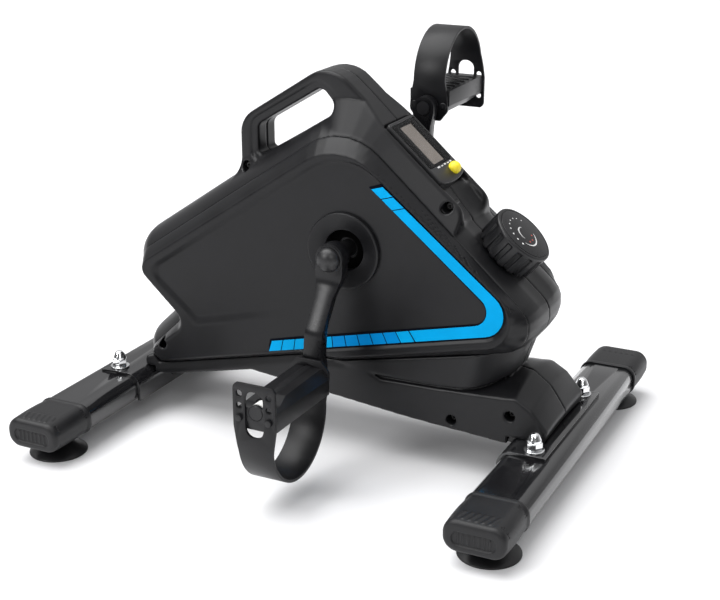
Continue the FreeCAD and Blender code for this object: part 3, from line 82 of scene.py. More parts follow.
def rounded(corners, steps=7):
    """A closed outline from its corners. An arc takes no more than 0.95 of the shorter side beside it."""
    nearly_straight = 1.55
    points = []
    for i, corner in enumerate(corners):
        p = np.array(corner[:2], float)
        a = np.array(corners[i - 1][:2], float) - p
        b = np.array(corners[(i + 1) % len(corners)][:2], float) - p
        reach = min(np.linalg.norm(a), np.linalg.norm(b))
        a, b = a / np.linalg.norm(a), b / np.linalg.norm(b)
        half = math.acos(max(-1.0, min(1.0, float(a @ b)))) / 2
        radius = corner[2] if len(corner) > 2 else 0.0
        if not radius or half >= nearly_straight:
            points.append(p)
            continue
        run = min(radius / math.tan(half), reach * 0.95)
        radius = run * math.tan(half)
        centre = p + (a + b) / np.linalg.norm(a + b) * radius / math.sin(half)
        v0, v1, swing = p + a * run - centre, p + b * run - centre, math.pi - 2 * half
        for k in range(steps + 1):
            u = k / steps
            arm = (math.sin((1 - u) * swing) * v0 + math.sin(u * swing) * v1) / math.sin(swing)
            points.append(centre + arm)
    return np.array(points)


def distance(points, x, z):
    """Signed distance to a closed outline, negative inside."""
    best = np.full(x.shape, 1e9)
    inside = np.zeros(x.shape, bool)
    for (ax, az), (bx, bz) in zip(points, np.roll(points, -1, axis=0)):
        ex, ez = bx - ax, bz - az
        t = np.clip(((x - ax) * ex + (z - az) * ez) / (ex * ex + ez * ez + 1e-9), 0, 1)
        best = np.minimum(best, (x - ax - ex * t) ** 2 + (z - az - ez * t) ** 2)
        if abs(ez) > 1e-9:
            inside ^= ((az > z) != (bz > z)) & (x < ex * (z - az) / ez + ax)
    return np.where(inside, -1, 1) * np.sqrt(best)


def corner_distance(p, q, radius):
    """Distance to a rounded corner, from the distances p and q past its two sides."""
    p, q = p + radius, q + radius
    return np.hypot(np.maximum(p, 0), np.maximum(q, 0)) + np.minimum(np.maximum(p, q), 0) - radius


def box_distance(p, q, half_p, half_q, radius):
    return corner_distance(np.abs(p) - half_p, np.abs(q) - half_q, radius)


def smin(a, b, k):
    """The smaller of two fields, blended over k millimetres."""
    h = np.clip(0.5 + 0.5 * (b - a) / k, 0, 1)
    return b + (a - b) * h - k * h * (1 - h)


def smax(a, b, k):
    return -smin(-a, -b, k)


def ease(low, high, value):
    """0 at low and 1 at high, with a soft start and end."""
    t = np.clip((value - low) / (high - low), 0, 1)
    return t * t * (3 - 2 * t)


def read(line, place):
    """Height over a place on an open line of (place, height) points."""
    return np.interp(place, [point[0] for point in line], [point[1] for point in line])


def flat(field):
    """A field seen from the side, made ready for the distance from the mid-plane."""
    return field[:, None, :]


def side_grid(x_span, half_span, z_span, step):
    """The first sample, and the samples' x, distance from the mid-plane and z."""
    x, a, z = (np.arange(*span, step) for span in (x_span, half_span, z_span))
    X, Z = np.meshgrid(x, z, indexing="ij")
    return (x[0], a[0], z[0]), X, a[None, :, None], Z


def surface_net(field, low, step):
    """Vertices and outward quads on the zero level of a sampled field that is negative inside."""
    inside = field < 0
    size = tuple(n - 1 for n in field.shape)
    corners = [(i, j, k) for i in (0, 1) for j in (0, 1) for k in (0, 1)]

    def shifted(array, c):
        return array[c[0]:c[0] + size[0], c[1]:c[1] + size[1], c[2]:c[2] + size[2]]

    total = sum(shifted(inside, c).astype(np.int8) for c in corners)
    active = (total > 0) & (total < 8)
    cells = np.argwhere(active)
    index = np.full(size, -1, np.int64)
    index[active] = np.arange(len(cells))
    values = np.stack([shifted(field, c)[active] for c in corners], 1)
    spot, hits = np.zeros((len(cells), 3)), np.zeros(len(cells))
    for m in range(8):
        for n in range(m + 1, 8):
            way = np.subtract(corners[n], corners[m])
            if np.abs(way).sum() != 1:
                continue
            cross = (values[:, m] < 0) != (values[:, n] < 0)
            t = values[cross, m] / (values[cross, m] - values[cross, n])
            spot[cross] += np.array(corners[m]) + t[:, None] * way
            hits += cross
    verts = (cells + spot / hits[:, None]) * step + np.array(low)
    quads = []
    for axis, (u, v) in enumerate(((1, 2), (2, 0), (0, 1))):
        near = np.take(inside, np.arange(inside.shape[axis] - 1), axis)
        far = np.take(inside, np.arange(1, inside.shape[axis]), axis)
        edge = np.argwhere(near != far)
        edge = edge[(edge[:, u] > 0) & (edge[:, v] > 0) & (edge[:, u] < size[u]) & (edge[:, v] < size[v])]
        eu, ev = np.eye(3, dtype=int)[u], np.eye(3, dtype=int)[v]
        ring = [index[tuple((edge - e).T)] for e in (eu + ev, ev, 0 * ev, eu)]
        quad = np.stack(ring, 1)
        solid = near[tuple(edge.T)]
        quad[~solid] = quad[~solid][:, ::-1]
        quads.append(quad)
    return verts, np.concatenate(quads)


def relax(verts, quads):
    """Evens out the sampling steps; each softening round is followed by one that undoes its shrinking."""
    soften, restore, rounds = 0.5, -0.52, 2
    ends = np.concatenate([quads[:, [0, 1]], quads[:, [1, 2]], quads[:, [2, 3]], quads[:, [3, 0]]])
    ends = np.concatenate([ends, ends[:, ::-1]])
    count = np.bincount(ends[:, 0], minlength=len(verts))[:, None]
    for weight in [soften, restore] * rounds:
        near = np.stack([np.bincount(ends[:, 0], verts[ends[:, 1], i], len(verts)) for i in range(3)], 1)
        verts = verts + weight * (near / count - verts)
    return verts


# ---------------------------------------------------------------- making pieces

def link_new(name, data):
    obj = bpy.data.objects.new(name, data)
    bpy.context.scene.collection.objects.link(obj)
    return obj


def new_object(name, verts, faces):
    mesh = bpy.data.meshes.new(name)
    mesh.from_pydata([tuple(v) for v in verts], [], [tuple(int(i) for i in f) for f in faces])
    mesh.update()
    mesh.shade_smooth()
    return link_new(name, mesh)


def fill_mesh(mesh, bm, sharp):
    """Writes a bmesh into a mesh and frees it; with an angle in degrees it is smooth up to that angle."""
    bm.to_mesh(mesh)
    bm.free()
    if sharp:
        mesh.shade_smooth()
        mesh.set_sharp_from_angle(angle=math.radians(sharp))


def from_bmesh(name, bm, sharp=None):
    mesh = bpy.data.meshes.new(name)
    fill_mesh(mesh, bm, sharp)
    return link_new(name, mesh)


def from_field(name, field, low, step, sign):
    """A piece from a field sampled on a side grid, on the side that the sign says."""
    verts, quads = surface_net(field, low, step)
    verts = relax(verts, quads) * MM
    verts[:, 1] *= sign
    return new_object(name, verts, quads if sign > 0 else quads[:, ::-1])


def slope_object(name, verts, faces):
    """A piece drawn flat as (along the slope, across, out of it) and laid on the front slope."""
    places = [(*on_slope(s, d), y) for s, y, d in verts]
    return new_object(name, [(x * MM, y * MM, z * MM) for x, z, y in places], faces)


def joined(name, pieces):
    """One mesh from several, keeping the material that each was given."""
    bm, materials = bmesh.new(), []
    for obj in pieces:
        start = len(bm.faces)
        bm.from_mesh(obj.data)
        bm.faces.ensure_lookup_table()
        material = obj.data.materials[0]
        if material not in materials:
            materials.append(material)
        for face in bm.faces[start:]:
            face.material_index = materials.index(material)
        bpy.data.objects.remove(obj)
    whole = from_bmesh(name, bm)
    for material in materials:
        whole.data.materials.append(material)
    return whole


def finish_piece(obj, body, slot, look, *nodes):
    """Body, replaced nodes and look; slot is not used. A joined piece has its looks already, so look is
    None.
    """
    if look:
        obj.data.materials.append(LOOK[look])
    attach(obj, body)
    if nodes:
        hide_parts(*nodes)
    return obj


# ---------------------------------------------------------------- materials

def nodes_of(name):
    mat = bpy.data.materials.new(name)
    mat.use_nodes = True
    tree = mat.node_tree
    return mat, tree.nodes, tree.links, tree.nodes["Principled BSDF"]


def noise(nodes, links, coords, scale, detail=4.0, rough=0.55):
    tex = nodes.new("ShaderNodeTexNoise")
    tex.inputs["Scale"].default_value = scale
    tex.inputs["Detail"].default_value = detail
    tex.inputs["Roughness"].default_value = rough
    links.new(coords.outputs["Object"], tex.inputs["Vector"])
    return tex


def spread(nodes, links, value, low, high, out_low, out_high):
    """Maps a value's range from low to high onto another one."""
    ramp = nodes.new("ShaderNodeMapRange")
    for key, number in (("From Min", low), ("From Max", high), ("To Min", out_low), ("To Max", out_high)):
        ramp.inputs[key].default_value = number
    links.new(value, ramp.inputs["Value"])
    return ramp.outputs["Result"]


def surface(name, color, rough, grain=1400.0, bump=0.12, depth=0.00012, vary=0.15, metal=0.0, wear=0.25,
            specular=0.5, coat=0.0, coat_rough=0.1):
    """Moulded, painted or metal surface: tone varies, fine grain in the bump, rubbed edges."""
    cloud_scale, fine_rough, rough_swing, grain_swing = 35.0, 0.65, 0.03, 0.04
    mat, nodes, links, bsdf = nodes_of(name)
    coords = nodes.new("ShaderNodeTexCoord")
    cloud = noise(nodes, links, coords, cloud_scale, 3.0)
    fine = noise(nodes, links, coords, grain, 5.0, fine_rough)
    base = nodes.new("ShaderNodeMixRGB")
    base.inputs["Color1"].default_value = (*[c * (1 - vary) for c in color], 1)
    base.inputs["Color2"].default_value = (*[min(1, c * (1 + vary)) for c in color], 1)
    links.new(spread(nodes, links, cloud.outputs["Fac"], 0.35, 0.65, 0, 1), base.inputs["Fac"])
    edge = nodes.new("ShaderNodeNewGeometry")
    rub = nodes.new("ShaderNodeMixRGB")
    rub.inputs["Color2"].default_value = (*[min(1, c * 1.6 + 0.012) for c in color], 1)
    links.new(base.outputs["Color"], rub.inputs["Color1"])
    links.new(spread(nodes, links, edge.outputs["Pointiness"], 0.52, 0.62, 0, wear), rub.inputs["Fac"])
    links.new(rub.outputs["Color"], bsdf.inputs["Base Color"])
    grainy = nodes.new("ShaderNodeMath")
    grainy.operation = "ADD"
    links.new(spread(nodes, links, fine.outputs["Fac"], 0.3, 0.7, -grain_swing, grain_swing),
              grainy.inputs[0])
    links.new(spread(nodes, links, cloud.outputs["Fac"], 0.3, 0.7, rough - rough_swing, rough + rough_swing),
              grainy.inputs[1])
    links.new(grainy.outputs["Value"], bsdf.inputs["Roughness"])
    relief = nodes.new("ShaderNodeBump")
    relief.inputs["Strength"].default_value = bump
    relief.inputs["Distance"].default_value = depth
    links.new(fine.outputs["Fac"], relief.inputs["Height"])
    links.new(relief.outputs["Normal"], bsdf.inputs["Normal"])
    bsdf.inputs["Metallic"].default_value = metal
    bsdf.inputs["Specular IOR Level"].default_value = specular
    bsdf.inputs["Coat Weight"].default_value = coat
    bsdf.inputs["Coat Roughness"].default_value = coat_rough
    return mat


def clear_lens():
    mat, nodes, links, bsdf = nodes_of("clear_lens")
    coords = nodes.new("ShaderNodeTexCoord")
    fine = noise(nodes, links, coords, 60.0, 2.0)
    links.new(spread(nodes, links, fine.outputs["Fac"], 0.3, 0.7, 0.05, 0.09), bsdf.inputs["Roughness"])
    links.new(spread(nodes, links, fine.outputs["Fac"], 0.3, 0.7, 0.03, 0.05), bsdf.inputs["Alpha"])
    bsdf.inputs["Base Color"].default_value = (0.02, 0.02, 0.02, 1)
    bsdf.inputs["Specular IOR Level"].default_value = 0.25
    return mat


SURFACES = {
    "gloss_black_paint": dict(color=(0.008, 0.008, 0.009), rough=0.16, grain=500, bump=0.05, depth=0.00005,
                              vary=0.1, wear=0.15, coat=0.6, coat_rough=0.06),
    "crank_paint": dict(color=(0.006, 0.006, 0.007), rough=0.30, grain=500, bump=0.01, depth=0.00002,
                        vary=0.1, wear=0.0, specular=0.26, coat=0.08, coat_rough=0.2),
    "frame_paint": dict(color=(0.02, 0.02, 0.021), rough=0.42, grain=900, bump=0.1),
    "chrome_plate": dict(color=(0.80, 0.81, 0.82), rough=0.12, grain=700, bump=0.03, depth=0.00003,
                         vary=0.05, metal=1.0, wear=0.0),
    "plain_steel": dict(color=(0.08, 0.08, 0.085), rough=0.4, grain=1600, bump=0.08, metal=1.0, wear=0.1),
    "zinc_steel": dict(color=(0.55, 0.56, 0.55), rough=0.38, grain=800, bump=0.06, metal=1.0, wear=0.1),
    "cast_iron": dict(color=(0.14, 0.14, 0.145), rough=0.5, grain=700, bump=0.3, depth=0.0002, metal=1.0),
    "aluminium": dict(color=(0.68, 0.68, 0.70), rough=0.3, grain=1200, bump=0.06, metal=1.0, wear=0.0),
    "magnet_nickel": dict(color=(0.62, 0.62, 0.60), rough=0.25, grain=600, bump=0.04, metal=1.0, wear=0.0),
    "belt_rubber": dict(color=(0.018, 0.018, 0.018), rough=0.7, grain=1100, bump=0.2),
    "foot_rubber": dict(color=(0.009, 0.009, 0.010), rough=0.42, grain=700, bump=0.12, wear=0.1,
                        specular=0.4),
    "cap_plastic": dict(color=(0.009, 0.009, 0.010), rough=0.46, grain=900, bump=0.25, depth=0.0002,
                        specular=0.34),
    "body_plastic": dict(color=(0.007, 0.007, 0.008), rough=0.37, grain=1500, bump=0.16, depth=0.00015,
                         specular=0.31),
    "cover_plastic": dict(color=(0.006, 0.006, 0.007), rough=0.36, grain=1500, bump=0.16, depth=0.00015,
                          specular=0.27),
    "stripe_blue": dict(color=(0.0, 0.33, 0.69), rough=0.45, grain=900, bump=0.05, depth=0.00005, vary=0.05,
                        wear=0.0, specular=0.05),
    "console_plastic": dict(color=(0.011, 0.011, 0.012), rough=0.38, grain=1500, bump=0.15, specular=0.4),
    "display_glass": dict(color=(0.20, 0.175, 0.155), rough=0.22, grain=300, bump=0.02, depth=0.00002,
                          vary=0.06, wear=0.0),
    "circuit_board": dict(color=(0.02, 0.16, 0.06), rough=0.35, grain=600, bump=0.1),
    "battery_can": dict(color=(0.45, 0.46, 0.48), rough=0.3, grain=900, bump=0.05, metal=1.0),
    "button_yellow": dict(color=(0.86, 0.70, 0.03), rough=0.38, grain=1200, bump=0.1, wear=0.1),
    "pedal_plastic": dict(color=(0.007, 0.007, 0.008), rough=0.36, grain=1100, bump=0.14, specular=0.36),
    "strap_rubber": dict(color=(0.006, 0.006, 0.007), rough=0.40, grain=1000, bump=0.12, specular=0.3),
    "white_nylon": dict(color=(0.72, 0.72, 0.69), rough=0.5, grain=800, bump=0.1),
    "gloss_cap": dict(color=(0.009, 0.009, 0.010), rough=0.40, grain=900, bump=0.03, depth=0.00004,
                      wear=0.0),
    "knob_plastic": dict(color=(0.007, 0.007, 0.008), rough=0.33, grain=1200, bump=0.12, specular=0.4),
    "dial_plastic": dict(color=(0.007, 0.007, 0.008), rough=0.3, grain=1200, bump=0.05, specular=0.35),
    "black_screw": dict(color=(0.05, 0.05, 0.05), rough=0.4, grain=900, bump=0.1, metal=1.0),
    "stripe_edge": dict(color=(0.001, 0.002, 0.006), rough=0.6, grain=900, bump=0.05, wear=0.0,
                        specular=0.05),
    "stripe_deep": dict(color=(0.0, 0.23, 0.60), rough=0.45, grain=900, bump=0.05, depth=0.00005, vary=0.05,
                        wear=0.0, specular=0.05),
    "bezel_gloss": dict(color=(0.002, 0.002, 0.0025), rough=0.3, grain=400, bump=0.02, depth=0.00002,
                        vary=0.1, wear=0.0, specular=0.08),
    "print_white": dict(color=(0.62, 0.62, 0.62), rough=0.5, grain=900, bump=0.05),
    "print_red": dict(color=(0.42, 0.07, 0.05), rough=0.5, grain=900, bump=0.05),
    "hub_shadow": dict(color=(0.001, 0.001, 0.001), rough=0.8, grain=900, bump=0.05, wear=0.0,
                       specular=0.02),
}
LOOK = {name: surface(name, **numbers) for name, numbers in SURFACES.items()}
LOOK["clear_lens"] = clear_lens()

# ---------------------------------------------------------------- casing

SEAM = [(-191, 146, 14), (-139, 97, 12), (-179, 59, 5), (-168, 47, 3), (-18, 82, 20), (20, 83, 20),
        (208, 124, 21), (21.7, 290, 52)]
LOWER_SEAM = [corner[:2] for corner in SEAM[3:7]]
RIDGE = [(-181.5, 140, 10), (-130, 93, 12), (-170, 62, 4), (-160, 53.5, 2), (-18, 87.5, 20),
         (20, 88.5, 20), (202, 131, 24), (23, 277, 50)]
FACE = [(-164, 139, 8), (-116, 101, 14), (-121, 64, 4), (192.5, 138, 20), (28.4, 270.3, 50)]
BOTTOM = [(-182, 36), (-152, 39), (-70, 58), (-20, 53), (76, 43), (168, 36), (201, 36)]
GRIP = [(-92, 225), (-92, 276, 24), (-3, 332, 32), (60, 275, 4), (20, 270)]
GRIP_HOLE = [(-75, 244, 4), (-75, 272, 8), (-12, 310, 8), (6, 292, 7)]
CHEEK = [on_slope(-73, 14) + (28,), on_slope(91.5, 15.3) + (15,), on_slope(100.5, 0.5), on_slope(96, -12),
         on_slope(-50, -12), (-30, 285)]
VALLEY = [(-62, 26), (-30, 16), (-5, 14.5), (-3, 8), (64, 8), (68, 7.5), (76, 6.5), (88, 5), (99, 3.5),
          (165, 3.5)]  # (along the slope, out of it)
HOUSING = [(-60, 100), (40, 76), (103, 76), (143, 79), (163, 86), (176, 95), (205, 118), (180, 140),
           (0, 140)]
CORE = [(-20, 60), (170, 60), (166, 92), (-20, 95)]  # fills the corner between the housing and the skirt
SKIRT = [(-182, 52, 4), *BOTTOM, (206, 52, 4), (191, 69, 8), (177, 77, 8), (165, 75.5, 6), (121, 74),
         (57, 72.5), (20, 90), (-18, 90)]
SKIRT_HUMP = [(110, 0), (163, 12), (180, 7.5), (196, 5), (210, 0)]  # (x, rise at the mid-plane)
# Screws as (x, z, distance of their boss's face from the mid-plane)
THROUGH_SCREWS = [(108, 225, 34), (-85, 235, HANDLE_HALF), (*REAR_SCREW, COVER_HALF), (173, 61, BASE_HALF)]
SIDE_SCREWS = [(122, 48, BASE_HALF)]
SHELL_WALL = 3
SHELL_GAP = 0.05  # half the gap between the two shells
PARTING = 0.9  # depth and width of the groove where they meet


def crown_field(X, A, seam):
    """The main body, full along the seam's outline and rising beyond it towards the mid-plane."""
    front = ease(-20, 40, X)
    rise, power = 15 - 11.5 * front, 2.5 + 1.5 * front
    return (flat(seam) - flat(rise) * (1 - np.clip(A / COVER_HALF, 0, 1) ** flat(power))) * 0.85


def upper_field(X, A, Z, seam, hole, widening):
    """The handle, and the cheeks that widen from it to the cover's plane; thinner round the grip's hole."""
    taper, taper_height, thinning = 0.72, 27, 1.6
    cheek_half = COVER_HALF - taper * np.clip(seam, 0, taper_height)
    half = HANDLE_HALF + (cheek_half - HANDLE_HALF) * widening
    half = half - thinning * ease(7.5, 6.0, hole) * (1 - widening)
    both = smin(distance(rounded(GRIP), X, Z), distance(rounded(CHEEK), X, Z), 2)
    return smax(flat(both), A - flat(half), 3.0)


def valley_field(A, s, d, below_console):
    """What is cut out between the cheeks: a flat seat for the console, then a scoop down to the knob."""
    seat_half, narrowing, edge_half, edge_rise = 26.6, 3.4, 23, 5
    rise = flat(below_console) * edge_rise * (np.maximum(A, 0) / edge_half) ** 4
    return smax(flat(read(VALLEY, s) - d) + rise, A - flat(seat_half - narrowing * below_console), 2)


def skirt_field(X, A, Z, seam):
    """The base skirt, whose top line is highest at the mid-plane and slopes down to its sides."""
    hump, line = read(SKIRT_HUMP, X), rounded(SKIRT)
    tiers = [distance(line, X, Z - hump * (1 - min(1, (a / BASE_HALF) ** 2))) for a in A.ravel()]
    return smax(np.stack(tiers, 1), A - flat(BASE_HALF - 1.6 + 1.6 * ease(0, 9, seam)), 2)


def base_field(X, A, Z, seam):
    """The wheel housing, whose front leans forward and is rounded in plan, the skirt and the core."""
    lean, front_x, plan_radius = 0.33, 166, 38
    plan = corner_distance(flat(X - (Z - 88) * lean) - front_x, A - BASE_HALF, plan_radius)
    housing = smax(flat(distance(rounded(HOUSING), X, Z)), plan, 1.5)
    core = np.maximum(flat(distance(rounded(CORE), X, Z)), A - BASE_HALF + 0.7)
    return np.minimum(housing, np.minimum(skirt_field(X, A, Z, seam), smax(core, plan + 4, 2)))


def casing_outside(X, A, Z, seam, s, d):
    hole = distance(rounded(GRIP_HOLE), X, Z)
    widening, below_console = ease(-38, 14, X), ease(62, 74, s)
    upper = upper_field(X, A, Z, seam, hole, widening)
    outside = smin(crown_field(X, A, seam), upper, flat(9 - 7.5 * widening))
    outside = smax(outside, -valley_field(A, s, d, below_console), flat(1.2 + 3 * below_console))
    outside = smax(outside, -flat(hole), 2.5)
    return np.minimum(outside, base_field(X, A, Z, seam))


def casing_fields(step):
    """The casing half on a side grid: its solid, its hollow, the console's pocket and the knob's bore."""
    foot_x, foot_top, cover_gap, rim_width, rim_height = 171.7, 43.3, 0.25, 7, 5
    pocket_middle, pocket_reach, pocket_half, pocket_floor = 30.5, 32.9, 26.5, 5
    bore_radius, bore_floor = 9.2, -6
    low, X, A, Z = side_grid((-212, 214), (0.3 - 2.5 * step, 53), (30, 334), step)
    seam = distance(rounded(SEAM), X, Z)
    s, d = slope_place(X, Z)
    outside = casing_outside(X, A, Z, seam, s, d)
    feet = np.maximum(foot_x - np.abs(X), Z - foot_top)
    solid = np.maximum(np.maximum(outside, flat(read(BOTTOM, X) - Z)), -flat(feet))
    solid = np.maximum(solid, -np.maximum(flat(seam) - cover_gap, COVER_HALF - A))
    under_cover = np.maximum(flat(seam) - SHELL_WALL, COVER_HALF - SHELL_WALL - A)
    cavity = np.maximum(outside + SHELL_WALL, -under_cover)
    cavity = np.minimum(cavity, np.maximum(flat(seam) + rim_width, COVER_HALF - rim_height - A))
    pocket = np.maximum(np.abs(s - pocket_middle) - pocket_reach, pocket_floor - d)
    pocket = np.maximum(flat(pocket), A - pocket_half)
    bore = np.maximum(np.hypot(flat(s - KNOB_S), A) - bore_radius, flat(bore_floor - d))
    return low, X, A, Z, solid, cavity, pocket, bore


def make_casing(step=1.25):
    boss_radius, shallow, deep = 6.2, 5, 10
    low, X, A, Z, solid, cavity, pocket, bore = casing_fields(step)
    for side, sign in SIDES.items():
        shell = np.maximum(solid, -cavity)
        for x, z, face in THROUGH_SCREWS + SIDE_SCREWS:
            boss = flat(np.hypot(X - x, Z - z)) - boss_radius
            shell = np.minimum(shell, np.maximum(np.maximum(boss, solid), A - face + 1))
        for x, z, face in SIDE_SCREWS + (THROUGH_SCREWS if side == "left" else []):
            depth = shallow if face == HANDLE_HALF else deep
            well = np.maximum(flat(np.hypot(X - x, Z - z)) - SCREW_WELL, face - depth - A)
            shell = np.maximum(shell, -well)
        shell = np.maximum(np.maximum(shell, -pocket), np.maximum(-bore, SHELL_GAP - A))
        shell = np.maximum(shell, solid + PARTING * ease(PARTING, 0, A))
        obj = from_field(f"{side}_casing_shell", shell, low, step, sign)
        finish_piece(obj, "base", "body_plastic", "body_plastic", f"{side}_shell")


# ---------------------------------------------------------------- side covers

def blurred(values, sigma):
    """A separable soft average, which rounds the cover's lines."""
    reach = int(3 * sigma + 1)
    weights = np.exp(-np.arange(-reach, reach + 1) ** 2 / (2 * sigma ** 2))
    weights /= weights.sum()
    for axis in (0, 1):
        padded = np.pad(values, [(reach, reach) if i == axis else (0, 0) for i in (0, 1)], mode="edge")
        values = sum(w * np.take(padded, np.arange(values.shape[axis]) + i, axis)
                     for i, w in enumerate(weights))
    return values


def between(outer, inner):
    """0 on the outer of two outlines and 1 on the inner one, from the distances to both."""
    return np.clip(-outer / (np.maximum(-outer, 0) + np.maximum(inner, 0) + 1e-6), 0, 1)


def cover_height(X, Z, seam, step):
    """How far the side cover stands out: a sloping wall up to the ridge, then the lower face."""
    ridge_half, face_drop, foot_half, foot_rise, bead_height = 55, 2.1, 41.2, 5.2, 0.5
    ridge, face = distance(rounded(RIDGE), X, Z), distance(rounded(FACE), X, Z)
    wall = between(seam, ridge)
    lower_rear = ease(3, -7, Z - 101 - 0.254 * (X + 116)) * ease(-10, -95, X)
    drop = face_drop * ease(0.5, 1, between(ridge, face)) * (1 - lower_rear)
    near_base = ease(15, 7, Z - read(LOWER_SEAM, X)) * ease(198, 176, X) * ease(-172, -150, X)
    foot = foot_half + foot_rise * near_base
    height = np.where(ridge > 0, foot + (ridge_half - foot) * wall * (1.2 - 0.2 * wall), ridge_half - drop)
    bead = bead_height * np.exp(-((ridge + 0.4) / 1.5) ** 2) * ease(110, 130, Z + 0.25 * (X + 100))
    return blurred(height, 0.55 / step) + bead


def make_side_covers(step=1.0):
    gap, wall, rim, hub_hole = 0.1, 2.4, 2.6, 21
    low, X, A, Z = side_grid((-195, 196), (38, 58), (44, 284), step)
    seam = distance(rounded(SEAM), X, Z)
    height = cover_height(X, Z, seam, step)
    tilt = np.sqrt(1 + np.gradient(height, step, axis=0) ** 2 + np.gradient(height, step, axis=1) ** 2)
    skin = (A - flat(height)) / flat(np.minimum(tilt, 2.0))
    outside = np.maximum(smax(skin, flat(seam) + gap, 1.0), COVER_HALF + gap - A)
    inside = np.maximum(skin + wall, flat(seam) + rim)
    openings = np.minimum(np.hypot(X - CRANK_AXIS[0], Z - CRANK_AXIS[1]) - hub_hole,
                          np.hypot(X - REAR_SCREW[0], Z - REAR_SCREW[1]) - SCREW_WELL)
    cover = np.maximum(np.maximum(outside, -inside), -flat(openings))
    for side, sign in SIDES.items():
        obj = from_field(f"{side}_cover_panel", cover, low, step, sign)
        finish_piece(obj, "base", "cover_plastic", "cover_plastic", f"{side}_side_cover")


make_casing()
make_side_covers()

# ---------------------------------------------------------------- blue stripe

# Corners with the way each moves (x, z, radius) per millimetre of margin
STRIPE_OUTER = [((61, 242), (-1, 1.4)), ((190, 138, 19), (1.3, -0.6, 1)), ((-47, 82), (-1, -1.1))]
STRIPE_INNER = [((51, 239), (-1.4, 1)), ((168, 143, 13), (-1.7, 0.4, -1)), ((-44, 92), (-1, 1.1))]
TOP_CUTS = [11.5, 24.5]  # along the outer line, from its upper end
LOW_CUTS = [12.3 + 12.95 * i for i in range(11)]  # from its lower end
DEEP_CELLS = range(5, 10)
TOP_GAP, LOW_GAP = 0.0035, 0.0021  # half a gap, as a share of the line's straight run


def prism(name, outer, inner, y0, y1, bevel=0.0):
    """A band between two lines of (x, z) points, from one distance off the mid-plane to another."""
    bm = bmesh.new()
    low, high = [[[bm.verts.new((x * MM, y * MM, z * MM)) for x, z in line] for line in (outer, inner)]
                 for y in (y0, y1)]
    n = len(outer)
    for i in range(n - 1):
        j = i + 1
        bm.faces.new((low[0][i], low[0][j], low[1][j], low[1][i]))
        bm.faces.new((high[0][i], high[1][i], high[1][j], high[0][j]))
        bm.faces.new((low[0][i], high[0][i], high[0][j], low[0][j]))
        bm.faces.new((low[1][j], high[1][j], high[1][i], low[1][i]))
    for i, order in ((0, 1), (n - 1, -1)):
        bm.faces.new([low[0][i], low[1][i], high[1][i], high[0][i]][::order])
    bmesh.ops.recalc_face_normals(bm, faces=bm.faces)
    if bevel:
        top = [e for e in bm.edges if all(abs(abs(v.co.y) - abs(y1) * MM) < 1e-7 for v in e.verts)
               and e.calc_face_angle(0) > 1.0]
        bmesh.ops.bevel(bm, geom=top, offset=bevel * MM, segments=1, affect="EDGES", clamp_overlap=True)
    return from_bmesh(name, bm)


def stripe_lines(margin=0.0):
    """The stripe's outer and inner line, point for point, moved apart by a margin."""
    return [rounded([[at + margin * way for at, way in zip(corner, ways)] for corner, ways in line], 10)
            for line in (STRIPE_OUTER, STRIPE_INNER)]


def part_way(line, end, share):
    """A point on the straight run at a line's end 0 or -1, by its share of the run."""
    a, b = (line[0], line[1]) if end == 0 else (line[-1], line[-2])
    return a + (b - a) * share


def stripe_cells():
    """Pairs of lines with a look: short cells at both ends, and a long one round the bend."""
    lines = stripe_lines()
    outer = lines[0]
    top_run, low_run = np.linalg.norm(outer[1] - outer[0]), np.linalg.norm(outer[-1] - outer[-2])
    top, low = [cut / top_run for cut in TOP_CUTS], [cut / low_run for cut in LOW_CUTS]
    spans = [(0, 0, top[0] - TOP_GAP, "stripe_blue"), (0, top[0] + TOP_GAP, top[1] - TOP_GAP, "stripe_blue")]
    for i, (start, stop) in enumerate(zip([0, *low], low)):
        look = "stripe_deep" if i in DEEP_CELLS else "stripe_blue"
        spans.append((-1, start + LOW_GAP if i else 0, stop - LOW_GAP, look))
    cells = [([[part_way(line, end, share) for share in (start, stop)] for line in lines], look)
             for end, start, stop, look in spans]
    bend = [[part_way(line, 0, top[-1] + TOP_GAP), *line[1:-1], part_way(line, -1, low[-1] + TOP_GAP)]
            for line in lines]
    return [*cells, (bend, "stripe_blue")]


def make_stripes():
    margin, border_half, stripe_half, bevel = 1.6, (52.7, 53.75), (52.8, 53.95), 0.1
    for side, sign in SIDES.items():
        border = prism(f"{side}_stripe_border", *stripe_lines(margin), *(sign * y for y in border_half))
        finish_piece(border, "base", "cover_plastic", "stripe_edge")
        pieces = []
        for i, (lines, look) in enumerate(stripe_cells()):
            pieces.append(prism(f"cell_{i}", *lines, *(sign * y for y in stripe_half), bevel))
            pieces[-1].data.materials.append(LOOK[look])
        stripe = joined(f"{side}_blue_stripe", pieces)
        finish_piece(stripe, "base", "stripe_blue", None, f"{side}_accent_stripe")


make_stripes()

# ---------------------------------------------------------------- console

# Boxes are (along the slope from, to, across from, to, corner radius) and layers (lower face, upper face)
CASE_BOX = (-3.5, 61.0, -23.8, 25.0, 3)
WINDOW_BOX = (-0.6, 46.6, -21.6, 22.6, 1.5)
DISPLAY_BOX = (3.4, 44.2, -9.8, 11.4, 0.6)
CASE_LAYER, BEZEL_LAYER, SCREEN_LAYER = (5.2, 16.4), (13.6, 15.7), (12.2, 15.4)
LENS_LAYER, LEGEND_LAYER = (15.75, 16.1), (16.3, 16.5)
LEGEND = [(-8, 5.0), (-1.5, 3.4), (4.5, 3.4), (10.5, 3.4), (16.0, 3.4)]  # (middle across, length)
BUTTON = dict(s=55.8, y=9.8, low=18.3, radius=5.5, height=5.4)


